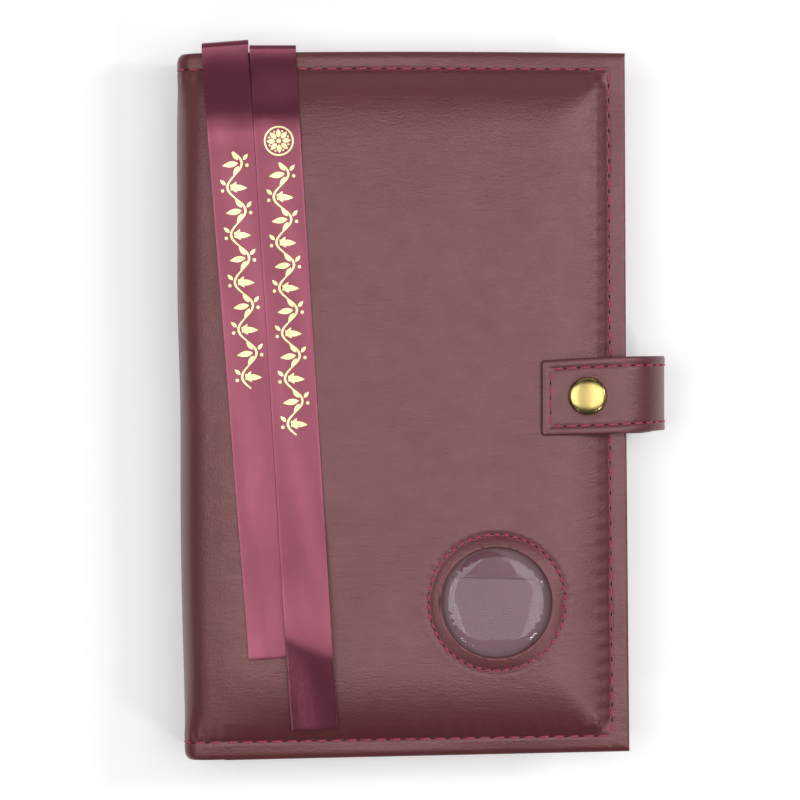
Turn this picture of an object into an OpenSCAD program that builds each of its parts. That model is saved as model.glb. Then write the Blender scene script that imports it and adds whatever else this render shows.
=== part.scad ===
// Prayer book in a padded leatherette jacket, lying on its back cover.
// The case-bound book sits with its boards in the jacket's two sleeves. The jacket has a
// snap strap round the fore-edge, a stitched medallion window and two ribbon markers.
// Frame: origin under the middle of the back cover, +X to the fore-edge, +Y to the head, +Z up.

/* [Jacket] */
// Width over the spine and the fore-edge margin
cover_w = 150; // [140:1:160]
// Height from the tail edge to the head edge
cover_h = 235; // [225:1:245]
// Distance of the seam from the jacket's edge
margin = 6.2; // [5.5:0.1:7]
// Thickness of the leatherette
skin_t = 0.9; // [0.7:0.1:1.2]
// Thickness of the foam under the leatherette
padding_t = 1.1; // [0.8:0.1:1.5]
// Thickness of the fabric lining
lining_t = 0.3; // [0.2:0.05:0.4]
// Thickness of the sleeve flap
flap_t = 0.6; // [0.5:0.1:0.9]
// Edge of the sleeve flap, measured from the middle of the cover
flap_x = -20; // [-30:1:10]
// Radius of the round corners beside the spine
spine_r = 8; // [7:0.5:9]
// Width of the puffed roll inside the seam
puff_roll = 8; // [7:0.5:10]

/* [Book] */
// Thickness of the pages when closed
pages_t = 28.6; // [24:0.2:34]
// Thickness of the book's own boards
board_t = 2.1; // [1.8:0.1:2.6]
// Thickness of the book cloth on the boards
cloth_t = 0.3; // [0.2:0.05:0.4]
// Thickness of an endpaper
paper_t = 0.2; // [0.15:0.05:0.3]
// How far the boards stand out past the pages
square = 2.5; // [1.5:0.1:3]
// Rounding depth of the pages' spine
spine_round = 3.5; // [2:0.1:4.5]
// Hollow depth of the pages' fore-edge
fore_hollow = 2; // [0.5:0.1:2.5]

/* [Strap and snap] */
// Width of the strap
strap_w = 25.4; // [20:0.2:28]
// Thickness of each of the strap's two layers
layer_t = 1.1; // [0.9:0.1:1.3]
// Free end of the strap on the front cover
strap_end_x = 46.3; // [42:0.1:50]
// Middle of the strap along the fore-edge
strap_y = 2.5; // [-10:0.5:10]
// How far the strap bows out past the fore-edge
strap_bow = 12.7; // [10:0.1:15]
// Gap between the strap and the front cover
strap_lift = 2; // [1.8:0.1:3]
// Diameter of the snap's cap
cap_d = 12.7; // [11:0.1:14]
// Middle of the snap across the cover
snap_x = 61.7; // [57:0.1:63]

/* [Medallion window] */
// Diameter of the opening in the leatherette
window_d = 36.8; // [34:0.2:38]
// Diameter of the ring of stitches
ring_d = 45.4; // [44:0.2:47]
// Middle of the window across the cover
window_x = 31.4; // [25:0.1:34]
// Middle of the window along the cover
window_y = -66.4; // [-75:0.1:-55]

/* [Ribbons] */
// Width of the ribbons
ribbon_w = 15.7; // [12:0.1:16]
// Thickness of the ribbons
ribbon_t = 0.3; // [0.25:0.05:0.4]
// Lower end of the long ribbon
long_end_y = -109; // [-110:1:-90]
// Lower end of the short ribbon
short_end_y = -85; // [-100:1:-60]

/* [Thread] */
// Radius of a stitch
thread_r = 0.35; // [0.25:0.05:0.4]
// Distance from one edge stitch to the next
edge_pitch = 5; // [4:0.1:6]

/* [Hidden] */
$fn = 64;

// Fits
touch = 0.05; // between layers that lie on each other
clear = 0.3; // between pieces that move past each other
thread_gap = 0.1; // under a stitch
book_gap = 0.7; // between the pages and the front sleeve
far = 500;

// Places across the cover
x_fore = cover_w / 2;
x_spine = -cover_w / 2;
y_edge = cover_h / 2;
x_seam = x_fore - margin;
y_seam = y_edge - margin;
stitch_off = 0.55; // from the foot of the puffed form out to the stitches
x_stitch = x_seam + stitch_off;
y_stitch = y_seam + stitch_off;
hinge_x = x_spine + spine_r;
x_left = hinge_x + clear;
seam_room = 3.8; // from the seam to the edge of the board
x_board = x_seam - seam_room;
y_board = y_seam - seam_room;
x_groove = x_spine + 15; // where the boards begin, past the groove
x_page = x_board - square;
y_page = y_board - square + 0.9;

// Depths of the layers, from a cover's outer face inwards
d_padding = skin_t;
d_lining = d_padding + padding_t;
d_cloth = d_lining + lining_t;
d_board = d_cloth + cloth_t;
d_paste = d_board + board_t;
d_flap = d_paste + paper_t;
stack_t = d_flap + flap_t;
d_margin = stack_t - flap_t - lining_t - skin_t;

// Heights
total_t = 2 * stack_t + pages_t + book_gap;
page_z0 = stack_t;
page_z1 = stack_t + pages_t;
mid_z = (page_z0 + page_z1) / 2;
back_hinge_z = spine_r;
front_hinge_z = total_t - spine_r;
wall_h = front_hinge_z - back_hinge_z - 2 * clear;

// Pages
mull_t = 0.4;
turn_x = hinge_x - 2.2; // axis on which the front pages turn
spine_x = turn_x + mull_t + 0.1;
half_pages = pages_t / 2;
spine_arc = (pow(half_pages, 2) + pow(spine_round, 2)) / (2 * spine_round);
fore_arc = (pow(half_pages, 2) + pow(fore_hollow, 2)) / (2 * fore_hollow);
band_t = 1.2;

// Strap
strap_t = 2 * layer_t;
strap_z0 = d_margin - strap_t; // underside of the strap's sewn end
strap_z1 = total_t + strap_lift + strap_t; // top of the strap on the front
low_bend_z = strap_z0 + strap_bow;
high_bend_z = strap_z1 - strap_bow;
strap_sewn_x = x_stitch + 0.6;
strap_inset = 3;
strap_pitch = 4.4;

// Snap
stud_r = 4.6;
flange_t = 0.3;
knob_r = 2;
knob_h = 1.7;
rivet_r = 1.2;
rivet_head_r = 2.6;
post_r = 1.6;
socket_r = 5.2;
socket_h = strap_lift - flange_t - 0.2;

// Window
film_t = 0.35;
film_r = ring_d / 2 + 1.8;
dome_r = window_d / 2 - 0.2;
dome_h = 1.1;
backing_t = 0.4;
slit_y = 8;
slit_len = 28;
slit_w = 0.6;
ring_count = 46;

// Ribbons: the middle of each at its lower end, and its slant across the cover
loop_y = y_edge;
long_x = -29.55;
long_slant = 3.56;
short_x = -43.8;
short_slant = 4.46;
short_z = total_t + 0.1;
long_z = total_t + 0.1 + ribbon_t + 0.25;
tail_end = y_page + 1;
tail_z = total_t - stack_t - touch - ribbon_t;

LEATHER = [0.40, 0.16, 0.18];
THREAD = [0.60, 0.16, 0.26];
LINING = [0.20, 0.08, 0.10];
FOAM = [0.85, 0.83, 0.78];
CLOTH = [0.10, 0.13, 0.25];
CARD = [0.55, 0.50, 0.43];
PAPER = [0.93, 0.90, 0.82];
SATIN = [0.56, 0.20, 0.32];
BRASS = [0.83, 0.68, 0.32];
CLEAR = [0.85, 0.87, 0.90, 0.35];

// ---------- shapes that repeat ----------

// Outline of a cover layer: square at the spine and round at the fore-edge corners
module leaf_outline(x0, x1, y, r) {
  translate([x0, -y]) square([x1 - x0 - r, 2 * y]);
  translate([x0, r - y]) square([x1 - x0, 2 * (y - r)]);
  for (s = [-1, 1]) translate([x1 - r, s * (y - r)]) circle(r);
}

module leaf(x0, x1, y, z0, z1, r) {
  translate([0, 0, z0]) linear_extrude(z1 - z0) leaf_outline(x0, x1, y, r);
}

// Puffed form that rises from the seam to the cover's outer face with a round roll
module pillow(x0, inset, z_top, z_seam, z_end) {
  steps = 4;
  hull() {
    for (i = [0 : steps]) {
      a = 90 * i / steps;
      in = inset + puff_roll * (1 - cos(a));
      z = z_seam - (z_seam - z_top) * sin(a);
      leaf(x0, x_seam - in, y_seam - in, z, i == 0 ? z_end : z + 0.01, 0.8 + 0.6 * in, $fn = 32);
    }
  }
}

// Everything in a cover is drawn as the back cover and turned over for the front
module as_front() {
  translate([0, 0, total_t]) mirror([0, 0, 1]) children();
}

// A profile in X and Z, drawn out along Y
module along_y(y0, y1) {
  translate([0, y1, 0]) rotate([90, 0, 0]) linear_extrude(y1 - y0) children();
}

// A quarter of a ring round a line parallel to Y. quadrant 0 is +X +Z, counted towards -X.
module quarter(x, z, r0, r1, quadrant, y0, y1) {
  along_y(y0, y1) translate([x, z]) rotate(90 * quadrant) intersection() {
    difference() {
      circle(r1);
      circle(r0);
    }
    square(r1 + 1);
  }
}

// One stitch lying along X
module stitch(len) {
  rotate([0, 90, 0]) cylinder(h = len, r = thread_r, center = true, $fn = 16);
}

// Stitches along a straight seam from a to b, both in one plane of height z
module stitch_row(a, b, z, pitch) {
  run = norm(b - a);
  count = round(run / pitch);
  step = run / count;
  for (i = [0 : count - 1])
    translate([each a + (b - a) * (i + 0.5) / count, z])
      rotate([0, 0, atan2(b.y - a.y, b.x - a.x)]) stitch(step * 0.7);
}

// ---------- cover layers, each drawn for the back cover ----------

module cover_skin() {
  difference() {
    union() {
      leaf(x_left, x_fore, y_edge, d_margin, d_margin + skin_t, 1.2);
      pillow(x_left, 0, 0, d_margin, d_margin + skin_t / 2);
    }
    pillow(x_left - 1, skin_t, skin_t, d_margin + skin_t, d_margin + 2 * skin_t);
  }
}

module cover_padding() {
  gap = lining_t + touch;
  foot = d_margin + skin_t - touch;
  difference() {
    pillow(x_left, skin_t + touch, skin_t + touch, foot - touch, foot);
    leaf(x_left - 1, x_board + gap, y_board + gap, d_lining, far, 2 + gap);
  }
}

module cover_lining() {
  difference() {
    union() {
      leaf(x_left, x_board + lining_t, y_board + lining_t, d_lining, d_flap, 2 + lining_t);
      leaf(x_left, x_fore, y_edge, d_flap - lining_t, d_flap, 1.2);
    }
    leaf(x_left - 1, x_board, y_board, d_cloth, far, 2);
  }
}

module cover_cloth() {
  difference() {
    leaf(x_groove, x_board, y_board, d_cloth, d_paste, 2);
    leaf(x_groove - 1, x_board - cloth_t, y_board - cloth_t, d_board, far, 2 - cloth_t);
  }
}

module cover_board() {
  leaf(x_groove, x_board - cloth_t, y_board - cloth_t, d_board, d_paste, 2 - cloth_t);
}

module cover_pastedown() {
  leaf(x_groove, x_board - 1.5, y_board - 1.5, d_paste, d_flap, 1);
}

// The sleeve flap, with the turned-in hem that runs on to the spine
module cover_flap() {
  hem = margin + 3;
  leaf(flap_x, x_fore, y_edge, d_flap, stack_t, 1.2);
  for (s = [-1, 1])
    translate([x_left, s * (y_edge - hem / 2) - hem / 2, d_flap])
      cube([flap_x - x_left + 1, hem, flap_t]);
}

module cover_stitching() {
  z = d_margin - thread_r - thread_gap;
  corner = 1.5;
  for (s = [-1, 1])
    stitch_row([x_left + corner, s * y_stitch], [x_stitch - corner, s * y_stitch], z, edge_pitch);
  stitch_row([x_stitch, corner - y_stitch], [x_stitch, y_stitch - corner], z, edge_pitch);
}

// ---------- front cover ----------

module front_skin() {
  color(LEATHER) as_front() difference() {
    cover_skin();
    translate([window_x, window_y, -1]) cylinder(h = d_margin, d = window_d);
    translate([snap_x, strap_y, -1]) cylinder(h = d_margin, r = rivet_r + touch);
  }
}

module front_padding() {
  color(FOAM) as_front() difference() {
    cover_padding();
    translate([window_x, window_y, -1]) cylinder(h = far, r = film_r + touch);
    translate([snap_x, strap_y, -1]) cylinder(h = far, r = rivet_r + touch);
    translate([snap_x, strap_y, d_lining - flange_t - touch]) cylinder(h = far, r = stud_r);
  }
}

module front_lining() { color(LINING) as_front() cover_lining(); }
module front_case_cloth() { color(CLOTH) as_front() cover_cloth(); }
module front_board() { color(CARD) as_front() cover_board(); }
module front_pastedown() { color(PAPER) as_front() cover_pastedown(); }
module front_flap() { color(LEATHER) as_front() cover_flap(); }
module front_stitching() { color(THREAD) as_front() cover_stitching(); }

// ---------- medallion window, drawn on the front cover's outer face ----------

// Height of the clear dome over its rim, at a distance r from its middle
function dome_rise(r, rim, rise) = rise * pow(max(0, 1 - pow(r / rim, 5)), 0.5);

module medallion_window() {
  rim_z = total_t - skin_t - touch;
  rise = dome_h + skin_t;
  rings = 14;
  outer = [for (i = [0 : rings]) let (r = dome_r * sin(90 * i / rings))
    [r, rim_z + dome_rise(r, dome_r, rise)]];
  inner_r = dome_r - film_t;
  inner = [for (i = [rings : -1 : 0]) let (r = inner_r * sin(90 * i / rings))
    [r, rim_z - film_t + dome_rise(r, inner_r, rise)]];
  color(CLEAR) translate([window_x, window_y, 0]) rotate_extrude()
    polygon([each outer, [film_r, rim_z], [film_r, rim_z - film_t], each inner]);
}

// Leatherette dish behind the film, with the slit that the medallion goes in through
module medallion_backing() {
  z0 = total_t - d_lining + touch;
  z1 = total_t - skin_t - touch - film_t;
  color(LEATHER) translate([window_x, window_y, 0]) difference() {
    translate([0, 0, z0]) cylinder(h = z1 - z0, r = film_r);
    translate([0, 0, z0 + backing_t]) cylinder(h = far, r = dome_r);
    translate([-slit_len / 2, slit_y - slit_w / 2, 0]) cube([slit_len, slit_w, far]);
  }
}

module window_stitching() {
  step = PI * ring_d / ring_count;
  color(THREAD) for (i = [0 : ring_count - 1])
    translate([window_x, window_y, total_t + thread_r + thread_gap])
      rotate([0, 0, i * 360 / ring_count]) translate([0, ring_d / 2, 0]) stitch(step * 0.62);
}

// ---------- snap ----------

module snap_stud() {
  color(BRASS) translate([snap_x, strap_y, total_t]) difference() {
    rotate_extrude() polygon([[0, 0], [stud_r, 0], [stud_r, flange_t], [knob_r - 0.3, flange_t],
      [knob_r - 0.3, flange_t + 0.4], [knob_r, flange_t + 0.8], [knob_r - 0.2, knob_h], [0, knob_h]]);
    translate([0, 0, -1]) cylinder(h = 2, r = rivet_r + touch);
  }
}

module stud_rivet() {
  foot = -d_lining + touch;
  color(BRASS) translate([snap_x, strap_y, total_t + foot]) {
    cylinder(h = flange_t - touch, r = rivet_head_r);
    cylinder(h = 0.9 - foot, r = rivet_r);
  }
}

module snap_cap() {
  cap_r = cap_d / 2;
  cap_h = 1.9;
  cap_arc = (pow(cap_r - 0.5, 2) + pow(cap_h - 0.7, 2)) / (2 * (cap_h - 0.7));
  dome = [for (i = [0 : 8]) let (r = (cap_r - 0.5) * i / 8)
    [r, cap_h - cap_arc + sqrt(pow(cap_arc, 2) - pow(r, 2))]];
  color(BRASS) translate([snap_x, strap_y, strap_z1]) {
    rotate_extrude() polygon([[0, touch], each dome, [cap_r - 0.1, 0.45], [cap_r, 0.2],
      [cap_r - 0.15, touch]]);
    translate([0, 0, -strap_t]) cylinder(h = strap_t + 0.5, r = post_r - touch);
  }
}

module snap_socket() {
  color(BRASS) translate([snap_x, strap_y, total_t + strap_lift - socket_h]) difference() {
    rotate_extrude() polygon([[0, 0], [socket_r - 0.5, 0], [socket_r, 0.4],
      [socket_r, socket_h - touch], [0, socket_h - touch]]);
    translate([0, 0, -1]) cylinder(h = far, r = knob_r + 0.5);
  }
}

// ---------- strap: sewn end, bowed side and free tab ----------

module strap_run(r_out) {
  y0 = strap_y - strap_w / 2;
  y1 = strap_y + strap_w / 2;
  quarter(x_fore, low_bend_z, r_out - layer_t, r_out, 3, y0, y1);
  translate([strap_sewn_x, y0, low_bend_z - r_out]) cube([x_fore - strap_sewn_x + 0.01, strap_w, layer_t]);
}

module strap_bend(r_out) {
  y0 = strap_y - strap_w / 2;
  y1 = strap_y + strap_w / 2;
  z0 = low_bend_z + clear;
  quarter(x_fore, high_bend_z, r_out - layer_t, r_out, 0, y0, y1);
  translate([x_fore + r_out - layer_t, y0, z0]) cube([layer_t, strap_w, high_bend_z - z0 + 0.01]);
}

module strap_flat(z) {
  corner = 1.2;
  y0 = strap_y - strap_w / 2;
  difference() {
    translate([strap_end_x, y0, z]) cube([x_fore - clear - strap_end_x, strap_w, layer_t]);
    translate([snap_x, strap_y, z - 1]) cylinder(h = layer_t + 2, r = post_r);
    for (s = [-1, 1]) translate([strap_end_x, strap_y + s * strap_w / 2, z - 1])
      difference() {
        cube([2 * corner, 2 * corner, 3 * layer_t + 2], center = true);
        translate([corner, -s * corner, -far]) cylinder(h = 2 * far, r = corner, $fn = 32);
      }
  }
}

module strap_base_outer() { color(LEATHER) strap_run(strap_bow); }
module strap_base_lining() { color(LEATHER) strap_run(strap_bow - layer_t); }
module strap_side_outer() { color(LEATHER) strap_bend(strap_bow); }
module strap_side_lining() { color(LEATHER) strap_bend(strap_bow - layer_t); }
module strap_tab_outer() { color(LEATHER) strap_flat(strap_z1 - layer_t); }
module strap_tab_lining() { color(LEATHER) strap_flat(strap_z1 - strap_t); }

module strap_base_stitching() {
  x = (strap_sewn_x + x_fore) / 2;
  y = strap_w / 2 - 1;
  z = strap_z0 - thread_r - thread_gap;
  color(THREAD) stitch_row([x, strap_y - y], [x, strap_y + y], z, strap_pitch);
}

module strap_side_stitching() {
  off = thread_r + thread_gap;
  straight = high_bend_z - low_bend_z;
  count = round(straight / strap_pitch);
  bends = 4;
  color(THREAD) for (s = [-1, 1]) translate([0, strap_y + s * (strap_w / 2 - strap_inset), 0]) {
    for (i = [0 : count - 1])
      translate([x_fore + strap_bow + off, 0, low_bend_z + straight * (i + 0.5) / count])
        rotate([0, 90, 0]) stitch(strap_pitch * 0.65);
    for (i = [0 : bends - 1])
      translate([x_fore, 0, high_bend_z]) rotate([0, -90 * (i + 0.5) / bends, 0])
        translate([strap_bow + off, 0, 0]) rotate([0, 90, 0]) stitch(strap_pitch * 0.65);
  }
}

module strap_tab_stitching() {
  z = strap_z1 + thread_r + thread_gap;
  x0 = strap_end_x + strap_inset;
  y0 = strap_y - strap_w / 2 + strap_inset;
  y1 = strap_y + strap_w / 2 - strap_inset;
  color(THREAD) {
    for (y = [y0, y1]) stitch_row([x0 + 0.8, y], [x_fore - 1, y], z, strap_pitch);
    stitch_row([x0, y0 + 0.8], [x0, y1 - 0.8], z, strap_pitch);
  }
}

// ---------- spine ----------

module spine_layer(depth, thick, y, trim) {
  translate([x_spine + depth, -y, back_hinge_z + clear + trim]) cube([thick, 2 * y, wall_h - 2 * trim]);
}

module spine_skin() { color(LEATHER) spine_layer(0, skin_t, y_edge, 0); }
module spine_lining() { color(LINING) spine_layer(skin_t, lining_t, y_edge, 0); }
module spine_case_cloth() { color(CLOTH) spine_layer(skin_t + lining_t, cloth_t, y_board, 0); }
module spine_board() { color(CARD) spine_layer(skin_t + lining_t + cloth_t, 1.2, y_board, 1); }

// The flexible corners between the spine and the covers
module joint_skin(z, quadrant) {
  quarter(hinge_x, z, spine_r - skin_t - lining_t, spine_r, quadrant, -y_edge, y_edge);
}

module front_joint_skin() { color(LEATHER) joint_skin(front_hinge_z, 1); }
module back_joint_skin() { color(LEATHER) joint_skin(back_hinge_z, 2); }

module spine_stitching() {
  off = thread_r + thread_gap;
  count = round(wall_h / edge_pitch);
  color(THREAD) for (s = [-1, 1]) translate([0, s * y_stitch, 0]) {
    for (i = [0 : count - 1])
      translate([x_spine - off, 0, back_hinge_z + clear + wall_h * (i + 0.5) / count])
        rotate([0, 90, 0]) stitch(edge_pitch * 0.7);
  }
}

// Stitches that turn the corner between the spine and a cover. side is 1 for the front.
module joint_stitching(z, side) {
  color(THREAD) for (s = [-1, 1], a = [25, 65])
    translate([hinge_x, s * y_stitch, z]) rotate([0, side * a, 0])
      translate([-spine_r - thread_r - thread_gap, 0, 0]) rotate([0, 90, 0]) stitch(edge_pitch * 0.65);
}

module front_joint_stitching() { joint_stitching(front_hinge_z, 1); }
module back_joint_stitching() { joint_stitching(back_hinge_z, -1); }

// ---------- back cover ----------

module back_skin() { color(LEATHER) cover_skin(); }
module back_padding() { color(FOAM) cover_padding(); }
module back_lining() { color(LINING) cover_lining(); }
module back_case_cloth() { color(CLOTH) cover_cloth(); }
module back_board() { color(CARD) cover_board(); }
module back_pastedown() { color(PAPER) cover_pastedown(); }
module back_flap() { color(LEATHER) cover_flap(); }
module back_stitching() { color(THREAD) cover_stitching(); }

// ---------- pages ----------

// Cross-section of the pages between two heights, round at the spine and hollow at the fore-edge
module page_section(z0, z1) {
  round_w = 10;
  difference() {
    union() {
      intersection() {
        translate([spine_x, z0]) square([round_w, z1 - z0]);
        translate([spine_x + spine_arc, mid_z]) circle(spine_arc, $fn = 128);
      }
      translate([spine_x + round_w - 0.01, z0]) square([x_page - spine_x - round_w, z1 - z0]);
    }
    translate([x_page - fore_hollow + fore_arc, mid_z]) circle(fore_arc, $fn = 128);
  }
}

module spine_ring(r0, r1, z0, z1) {
  intersection() {
    translate([spine_x - 1, z0]) square([6, z1 - z0]);
    translate([spine_x + spine_arc, mid_z]) difference() {
      circle(r1, $fn = 128);
      circle(r0, $fn = 128);
    }
  }
}

module page_block(z0, z1) {
  color(PAPER) along_y(-y_page, y_page) page_section(z0, z1);
}

module flyleaf(z) {
  color(PAPER) translate([spine_x + spine_round, -y_page, z])
    cube([x_page - spine_x - spine_round, 2 * y_page, paper_t]);
}

module spine_mull(z0, z1) {
  y = y_page - 8;
  color(LINING) along_y(-y, y) spine_ring(spine_arc + 0.02, spine_arc + mull_t, z0, z1);
}

module headbands(z0, z1) {
  color(SATIN) for (y = [-y_page - band_t - 0.01, y_page + 0.01])
    along_y(y, y + band_t) spine_ring(spine_arc - 1.8, spine_arc, z0, z1);
}

module front_page_block() { page_block(mid_z + clear / 2, page_z1 - paper_t); }
module back_page_block() { page_block(page_z0 + paper_t, mid_z - clear / 2); }
module front_flyleaf() { flyleaf(page_z1 - paper_t); }
module back_flyleaf() { flyleaf(page_z0); }
module front_spine_mull() { spine_mull(mid_z + clear / 2, page_z1 - 1.5); }
module back_spine_mull() { spine_mull(page_z0 + 1.5, mid_z - clear / 2); }
module front_headbands() { headbands(mid_z + clear / 2, page_z1 - 1); }
module back_headbands() { headbands(page_z0 + 1, mid_z - clear / 2); }

// ---------- ribbons ----------

// Places its children with X across the ribbon and Y up it, from the ribbon's lower end
module on_ribbon(x, y, slant) {
  translate([x, y, 0]) rotate([0, 0, slant]) children();
}

module ribbon_strip(x, y, slant, z) {
  run = (loop_y - y) / cos(slant) + 3;
  color(SATIN) intersection() {
    on_ribbon(x, y, slant) translate([-ribbon_w / 2, 0, z]) cube([ribbon_w, run, ribbon_t]);
    translate([-far / 2, -far, 0]) cube([far, far + loop_y - touch, far]);
  }
}

// The loop over the head edge and the sewn tail inside the cover
module ribbon_root(x, y, slant, z) {
  top_x = x - (loop_y - y) * tan(slant);
  w = ribbon_w / cos(slant);
  top_z = z + ribbon_t;
  r = (top_z - tail_z) / 2;
  color(SATIN) {
    translate([top_x - w / 2, loop_y, 0]) rotate([90, 0, 90]) linear_extrude(w)
      translate([0, tail_z + r]) intersection() {
        difference() {
          circle(r);
          circle(r - ribbon_t);
        }
        translate([0, -r]) square(2 * r);
      }
    translate([top_x - w / 2, tail_end, tail_z]) cube([w, loop_y - tail_end + 0.01, ribbon_t]);
  }
}

// Gold foil ornament: a row of lozenges with a dot after each one
module foil(x, y, slant, z, start, count) {
  pitch = 9;
  color(BRASS) on_ribbon(x, y, slant) translate([0, start, z + ribbon_t + 0.02]) linear_extrude(0.08) {
    for (i = [0 : count - 1]) translate([0, -i * pitch]) {
      rotate(45) square(4, center = true);
      translate([0, -pitch / 2]) circle(0.9, $fn = 16);
    }
  }
}

module long_ribbon() { ribbon_strip(long_x, long_end_y, long_slant, long_z); }
module short_ribbon() { ribbon_strip(short_x, short_end_y, short_slant, short_z); }
module long_ribbon_foil() { foil(long_x, long_end_y, long_slant, long_z, 198, 11); }
module short_ribbon_foil() { foil(short_x, short_end_y, short_slant, short_z, 164, 9); }
module long_ribbon_root() { ribbon_root(long_x, long_end_y, long_slant, long_z); }
module short_ribbon_root() { ribbon_root(short_x, short_end_y, short_slant, short_z); }

module ribbon_tacks() {
  long_top = long_x - (loop_y - long_end_y) * tan(long_slant);
  short_top = short_x - (loop_y - short_end_y) * tan(short_slant);
  color(THREAD) for (x = [long_top, short_top], s = [-1, 0, 1])
    translate([x + 4.5 * s, tail_end + 1.5, tail_z - thread_r - thread_gap]) stitch(3.2);
}

front_skin();
front_padding();
front_lining();
front_case_cloth();
front_board();
front_pastedown();
front_flap();
front_stitching();
medallion_window();
medallion_backing();
window_stitching();
snap_stud();
stud_rivet();
long_ribbon_root();
short_ribbon_root();
ribbon_tacks();
spine_skin();
spine_lining();
spine_case_cloth();
spine_board();
spine_stitching();
front_joint_skin();
front_joint_stitching();
back_joint_skin();
back_joint_stitching();
back_skin();
back_padding();
back_lining();
back_case_cloth();
back_board();
back_pastedown();
back_flap();
back_stitching();
back_flyleaf();
back_page_block();
back_spine_mull();
back_headbands();
strap_base_outer();
strap_base_lining();
strap_base_stitching();
front_page_block();
front_flyleaf();
front_spine_mull();
front_headbands();
strap_side_outer();
strap_side_lining();
strap_side_stitching();
strap_tab_outer();
strap_tab_lining();
strap_tab_stitching();
snap_cap();
snap_socket();
long_ribbon();
long_ribbon_foil();
short_ribbon();
short_ribbon_foil();
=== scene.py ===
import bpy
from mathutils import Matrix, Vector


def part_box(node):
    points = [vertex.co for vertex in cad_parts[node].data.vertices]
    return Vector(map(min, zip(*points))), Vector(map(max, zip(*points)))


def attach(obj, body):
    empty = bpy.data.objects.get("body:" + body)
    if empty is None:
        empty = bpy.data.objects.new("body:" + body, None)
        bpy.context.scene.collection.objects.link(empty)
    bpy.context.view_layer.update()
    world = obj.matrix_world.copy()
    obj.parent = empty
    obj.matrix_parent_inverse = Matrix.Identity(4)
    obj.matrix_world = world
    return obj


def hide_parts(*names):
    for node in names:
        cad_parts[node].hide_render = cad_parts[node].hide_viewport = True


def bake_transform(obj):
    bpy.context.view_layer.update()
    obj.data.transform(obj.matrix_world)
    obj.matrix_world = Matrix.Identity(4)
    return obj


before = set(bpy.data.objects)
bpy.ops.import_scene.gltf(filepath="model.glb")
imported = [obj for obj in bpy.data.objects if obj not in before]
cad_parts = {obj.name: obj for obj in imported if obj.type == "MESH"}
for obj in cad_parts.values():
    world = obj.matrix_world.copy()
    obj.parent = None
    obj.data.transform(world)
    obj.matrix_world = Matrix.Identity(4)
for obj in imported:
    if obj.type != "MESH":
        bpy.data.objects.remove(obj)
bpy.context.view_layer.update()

import math
import random

import bmesh
import bpy
import numpy as np
from mathutils import Vector

random.seed(7)
MM = 0.001  # the script works in millimetres in the CAD's frame


def cad(node):
    lo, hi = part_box(node)
    return np.array(lo) / MM, np.array(hi) / MM


# ---------- sizes read from the CAD ----------
skin_lo, skin_hi = cad("front_skin")
cloth_lo, cloth_hi = cad("front_case_cloth")
spine_lo, spine_hi = cad("spine_skin")
joint_lo, joint_hi = cad("front_joint_skin")
flap_lo, flap_hi = cad("front_flap")
board_lo, board_hi = cad("front_board")
pages_lo, pages_hi = cad("front_page_block")
back_pages_lo, back_pages_hi = cad("back_page_block")
_, seam_hi = cad("front_stitching")
tab_lo, tab_hi = cad("strap_tab_outer")
tab_in_lo, _ = cad("strap_tab_lining")
_, side_hi = cad("strap_side_outer")
base_lo, base_hi = cad("strap_base_outer")
cap_lo, cap_hi = cad("snap_cap")
stud_lo, stud_hi = cad("snap_stud")
socket_lo, socket_hi = cad("snap_socket")
film_lo, film_hi = cad("medallion_window")
ring_lo, ring_hi = cad("window_stitching")
backing_lo, _ = cad("medallion_backing")
root_a_lo, _ = cad("short_ribbon_root")
root_b_lo, _ = cad("long_ribbon_root")
strip_a_lo, strip_a_hi = cad("short_ribbon")
strip_b_lo, strip_b_hi = cad("long_ribbon")

THREAD = 0.7  # thickness of the thread in the CAD
TOP = skin_hi[2]  # outer face of the front cover
EDGE_X = skin_hi[0]
EDGE_Y = skin_hi[1]
SPINE_X = spine_lo[0]
SKIN = spine_hi[0] - spine_lo[0]
R = joint_hi[0] - joint_lo[0]  # round corners between spine and covers
HX = SPINE_X + R
DROP = TOP - skin_lo[2] - SKIN  # from the puffed face down to the margin
STITCH_X = seam_hi[0] - THREAD / 2
STITCH_Y = seam_hi[1] - THREAD / 2
SEAM_X = STITCH_X - 0.55
SEAM_Y = STITCH_Y - 0.55
FLAP_Z = TOP - flap_lo[2]  # depth of the flap's inner face
SNAP = np.array([(stud_lo[0] + stud_hi[0]) / 2, (stud_lo[1] + stud_hi[1]) / 2])
WINDOW = np.array([(film_lo[0] + film_hi[0]) / 2, (film_lo[1] + film_hi[1]) / 2])
HOLE_R = 18.4
RING_R = (ring_hi[1] - ring_lo[1] - THREAD) / 2
RING_STITCHES = 46
PITCH = 5.0  # of the stitches round the covers
SEAM_END = -59.6  # where the covers' seams stop beside the spine
COLLAR = 0.75  # how far the film pushes the leatherette up round the window

# ---------- the jacket's outer face, unrolled ----------
FLAT = EDGE_X - HX
ARC = math.pi / 2 * R
WALL = TOP - 2 * R
S1 = FLAT
S2 = S1 + ARC
S3 = S2 + WALL
S4 = S3 + ARC
S5 = S4 + FLAT
MID_S = S5 / 2
ROLL = 34.0
PUFF = 1.7  # the foam lifts the middle of the cover this far over the CAD's flat face


def smooth(t):
    t = np.clip(t, 0, 1)
    return t * t * (3 - 2 * t)


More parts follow.
